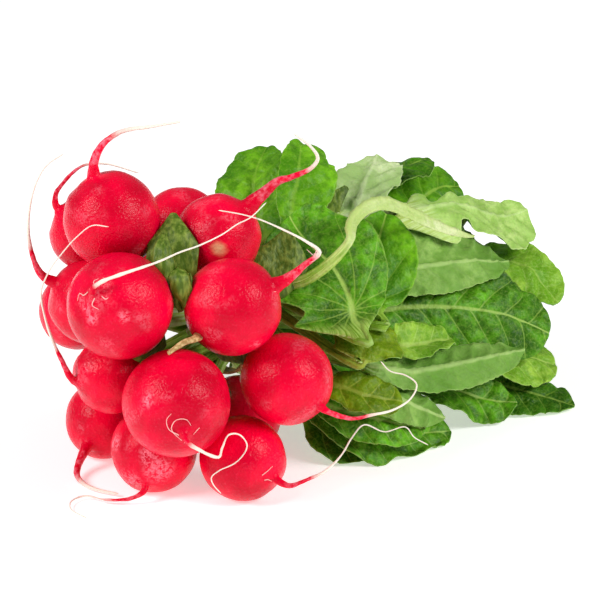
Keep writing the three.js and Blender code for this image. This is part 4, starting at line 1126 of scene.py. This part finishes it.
KNOB = [4.4, 3.7, 3.1, 2.5, 1.3]  # radii of a crown from the bulb outwards
KNOB_SUNK = 0.86  # where a crown starts inside its bulb, as a share of the bulb's radius
KNOB_PROUD = 4.2  # how far it stands out of the bulb
KNOB_FLAT = 0.8
KNOB_SIDES = 28
KNOB_RINGS = 14


def crowns_piece(material):
    """The corky knob on each bulb that its stalks grow out of."""
    strands = []
    for k, bulb in enumerate(BULBS):
        way = crown_way(bulb)
        middle = np.array(bulb["at"], float)
        start = middle + way * bulb["r"] * KNOB_SUNK
        end = middle + way * (bulb["r"] * FLATTEN + KNOB_PROUD)
        face = square_to(way, np.array([-0.2, 0.1, 1]))
        rings = strand([start, end], KNOB, KNOB_SIDES, KNOB_RINGS, KNOB_FLAT, face)
        ridge = bumps(rings, 1.5, k + 120) * 0.35
        strands.append(rings + unit(rings - (start + end) / 2) * ridge[:, None])
    strands_piece("crowns", strands, KNOB_SIDES, KNOB_RINGS, material)


# Young leaves still rolled up among the crowns: line, radii
YOUNG = [
    ([(-26.5, -27, 61), (-28.5, -26.5, 66.5), (-30, -25, 71), (-30, -23, 76.5), (-28.5, -21, 81),
      (-26.5, -19, 84)], [1.0, 1.4, 2.2, 3.3, 2.9, 0.3]),
    ([(-25, -29, 61), (-27, -29.5, 66), (-28, -29.5, 69.5), (-28, -28.5, 72.5), (-26, -26, 75)],
     [1.0, 1.6, 3.2, 3.3, 0.7]),
    ([(-22, -26, 60), (-24, -28, 65), (-25, -29, 69), (-24, -28, 73)], [0.9, 1.0, 1.8, 0.5]),
]
# Crumpled inner leaves in the heart of the pile and of the heap: line, radii
INNER = [
    ([(-20, -14, 58), (-22, -16, 68), (-20, -15, 78), (-16, -10, 86)], [2, 8, 8, 1]),
    ([(-24, -14, 44), (-32, -18, 48), (-38, -20, 52), (-44, -20, 52)], [2, 6, 6, 1]),
    ([(-8, -22, 40), (-8, -28, 46), (-6, -32, 50), (-2, -36, 54)], [2, 8, 8, 1]),
    ([(-22, -16, 40), (-24, -22, 36), (-24, -26, 28), (-22, -28, 22)], [2, 8, 8, 1]),
    ([(4, -20, 56), (10, -24, 62), (16, -24, 68), (20, -22, 76)], [2, 8, 9, 1]),
    ([(40, 4, 50), (56, 6, 62), (63, 6, 69), (69, 6, 73)], [1.5, 4, 5, 1]),
    ([(60, 0, 48), (73, 2, 57), (82, 2, 62), (90, 2, 64)], [1.5, 5, 5, 1]),
    ([(92, 0, 44), (106, 2, 50), (115, 2, 53), (123, 2, 55)], [1.5, 5, 5, 1]),
]
YOUNG_SIDES = 28
YOUNG_RINGS = 30
YOUNG_FLAT = 0.7  # thickness to width
YOUNG_FACE = (-0.4, -0.7, 0.4)
INNER_FLAT = 0.16
INNER_FACE = (-0.6, -0.7, 0.3)


def young_leaves_piece(material):
    """Rolled young leaves, ribbed along their length, and crumpled flat ones behind them."""
    strands = []
    for k, (line, radii) in enumerate(YOUNG):
        rings = strand(line, radii, YOUNG_SIDES, YOUNG_RINGS, YOUNG_FLAT, YOUNG_FACE)
        turn = np.tile(np.linspace(0, 2 * math.pi, YOUNG_SIDES, endpoint=False), YOUNG_RINGS)
        centre = np.repeat(along(line, np.linspace(0, 1, YOUNG_RINGS))[0], YOUNG_SIDES, axis=0)
        ridge = 0.22 * np.cos(5 * turn + 2 * k) + 0.3 * bumps(rings[:-2], 2.5, k + 140)
        rings[:-2] += unit(rings[:-2] - centre) * ridge[:, None]
        strands.append(rings)
    for k, (line, radii) in enumerate(INNER):
        rings = strand(line, radii, YOUNG_SIDES, YOUNG_RINGS, INNER_FLAT, INNER_FACE)
        crumple = 1.1 * bumps(rings, 6, k + 150) + 0.4 * bumps(rings, 2.5, k + 155)
        rings += crumple[:, None] * INNER_FACE
        strands.append(rings)
    strands_piece("young_leaves", strands, YOUNG_SIDES, YOUNG_RINGS, material)


DRY_STALK = [(-40.5, -38.5, 54), (-38.5, -39.5, 55.5), (-35, -39.5, 56.5), (-29.5, -38, 56), (-24, -33, 55)]
DRY_RADII = [0.7, 1.0, 1.2, 1.6, 1.3]
DRY_FLAT = 0.6
DRY_FACE = (0.3, -0.3, 0.9)
DRY_SIDES = 24
DRY_RINGS = 24


def dry_stalk_piece(material):
    """A withered, broken leaf stalk between the bulbs."""
    rings = strand(DRY_STALK, DRY_RADII, DRY_SIDES, DRY_RINGS, DRY_FLAT, DRY_FACE)
    rings += bumps(rings, 2.0, 160)[:, None] * 0.25 * unit(np.array(DRY_FACE))
    strands_piece("dry_stalk", [rings], DRY_SIDES, DRY_RINGS, material)


TIE_TURNS = 96
TIE_SECTION = 12
TIE_WANDER = 0.18  # how far the band strays along the stalks


def tie_piece(material):
    """A rubber band of rounded section, drawn tight round the stalks."""
    points = []
    for i in range(TIE_TURNS):
        turn = 2 * math.pi * i / TIE_TURNS
        way = np.array([0, math.cos(turn), math.sin(turn)])
        shift = TIE_WANDER * math.sin(3 * turn + 0.6)
        for j in range(TIE_SECTION):
            a = 2 * math.pi * j / TIE_SECTION
            flat = np.sign(math.cos(a)) * abs(math.cos(a)) ** 0.5
            tall = np.sign(math.sin(a)) * abs(math.sin(a)) ** 0.5
            out = TIE_BORE + TIE_THICK / 2 + tall * TIE_THICK / 2
            points.append(NECK + way * out + (flat * TIE_WIDTH / 2 * 0.96 + shift, 0, 0))
    faces = []
    for i in range(TIE_TURNS):
        ring = i * TIE_SECTION
        following = (i + 1) % TIE_TURNS * TIE_SECTION
        for j in range(TIE_SECTION):
            beside = (j + 1) % TIE_SECTION
            faces.append((ring + j, following + j, following + beside, ring + beside))
    piece = mesh_piece("tie_band", np.array(points), faces, [material])
    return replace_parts(piece, "tie")


# Camera, floor and light

VIEW_AZIMUTH = math.radians(-40)
VIEW_HEIGHT = math.radians(20)
VIEW_FAR = 900.0
VIEW_TARGET = np.array([0, -52, 65.4])
PIXEL = 0.305  # millimetres of the object in a pixel at the target
FRAME_PIXELS = 600
SENSOR = 36.0

WORLD_LIGHT = 0.2
BOX_SIZE = 0.65
BOX_POWER = 15.5
FLOOR_HALF = 6
FLOOR_GLOW = 0.46


def set_camera():
    sa, ca = math.sin(VIEW_AZIMUTH), math.cos(VIEW_AZIMUTH)
    se, ce = math.sin(VIEW_HEIGHT), math.cos(VIEW_HEIGHT)
    right = Vector((ca, sa, 0))
    up = Vector((-se * sa, se * ca, ce))
    ahead = Vector((-ce * sa, ce * ca, -se))
    place = Vector((VIEW_TARGET + SHIFT) / 1000) - ahead * VIEW_FAR / 1000
    data = bpy.data.cameras.new("photo_view")
    data.sensor_width = SENSOR
    data.lens = SENSOR * VIEW_FAR / PIXEL / FRAME_PIXELS
    data.clip_end = 20
    camera = bpy.data.objects.new("photo_view", data)
    turn = Matrix((right, up, -ahead)).transposed().to_4x4()
    camera.matrix_world = Matrix.Translation(place) @ turn
    bpy.context.scene.collection.objects.link(camera)
    bpy.context.scene.camera = camera


def soft_light(name, place):
    data = bpy.data.lights.new(name, "AREA")
    data.shape = "DISK"
    data.size = BOX_SIZE
    data.energy = BOX_POWER
    light = bpy.data.objects.new(name, data)
    light.location = place
    light.rotation_euler = (Vector((0, 0, 0.04)) - Vector(place)).to_track_quat("-Z", "Y").to_euler()
    bpy.context.scene.collection.objects.link(light)


def set_room():
    world = bpy.data.worlds.new("white_room")
    world.use_nodes = True
    world.node_tree.nodes["Background"].inputs["Color"].default_value = (1, 1, 1, 1)
    world.node_tree.nodes["Background"].inputs["Strength"].default_value = WORLD_LIGHT
    bpy.context.scene.world = world
    bpy.context.scene.view_settings.view_transform = "Standard"
    soft_light("left_box", (-1.17, 0.29, 0.9))
    soft_light("right_box", (0.48, -1.1, 0.9))
    mesh = bpy.data.meshes.new("floor")
    corners = [(-1, -1), (1, -1), (1, 1), (-1, 1)]
    mesh.from_pydata([(x * FLOOR_HALF, y * FLOOR_HALF, 0) for x, y in corners], [], [(0, 1, 2, 3)])
    floor = bpy.data.objects.new("floor", mesh)
    bpy.context.scene.collection.objects.link(floor)
    material, tree = new_material("white_card")
    shader = add(tree, "ShaderNodeBsdfPrincipled", {
        "Base Color": linear("#F4F4F4"), "Roughness": 0.8, "Emission Color": linear("#FFFFFF"),
        "Emission Strength": FLOOR_GLOW})
    add(tree, "ShaderNodeOutputMaterial", {"Surface": shader})
    mesh.materials.append(material)


set_camera()
set_room()

skin = radish_skin()
# Sides of the leaves: blade, its deeper shade, side veins, midrib, stalk
LEAF_SIDES = [
    ("upper fresh", ("#68B418", "#2A5A02", "#9CC050", "#A8C860", "#6C9420"), {}),
    ("upper bright", ("#82C81E", "#3E7C04", "#94C044", "#A0C84C", "#6C9420"), {"net": 0.1}),
    # A darker copy of the fresh upper side, painted shade for the leaves that lie in the heap's shaded
    # hollows
    ("upper shaded", ("#4C8E0A", "#245402", "#8CB040", "#94B44C", "#648C1C"), {}),
    ("upper yellow", ("#7C9C08", "#4E7004", "#A8B43C", "#98A83C", "#62801C"), {"net": 0.1}),
    ("upper lime", ("#A8D048", "#649C14", "#BCDC74", "#B8D468", "#80A82C"), {}),
    ("under grey", ("#98BE60", "#6A9A38", "#6E9444", "#BAD684", "#78A02C"), {"roughness": 0.55}),
    ("under lime", ("#BEDC80", "#8CB84C", "#88AC54", "#D4E8A4", "#A8C058"), {"roughness": 0.55}),
    ("under pale", ("#D6E4B0", "#9CBC70", "#90B064", "#DCE8B8", "#A8C058"), {"roughness": 0.6}),
    ("under cream", ("#E0E8B4", "#B8D078", "#8CB04C", "#C0D478", "#76A024"),
     {"net": 0.1, "streaky": 0.15, "roughness": 0.5}),
]
LOOKS = {}
for side, colours, more in LEAF_SIDES:
    LOOKS[side] = leaf_finish("leaf_" + side.replace(" ", "_"), *colours, **more)

for k, bulb in enumerate(BULBS):
    radish_piece(bulb, k, skin)

for k in range(len(LEAVES)):
    laid = lay_on(leaf_net(k))
    heap_add(laid)
    leaf_piece(k, even_edges(laid), LOOKS)

tie_piece(rubber_band())
crowns_piece(crown_skin())
young_leaves_piece(young_leaf())
dry_stalk_piece(withered_stalk())
hairs_piece(root_hair())
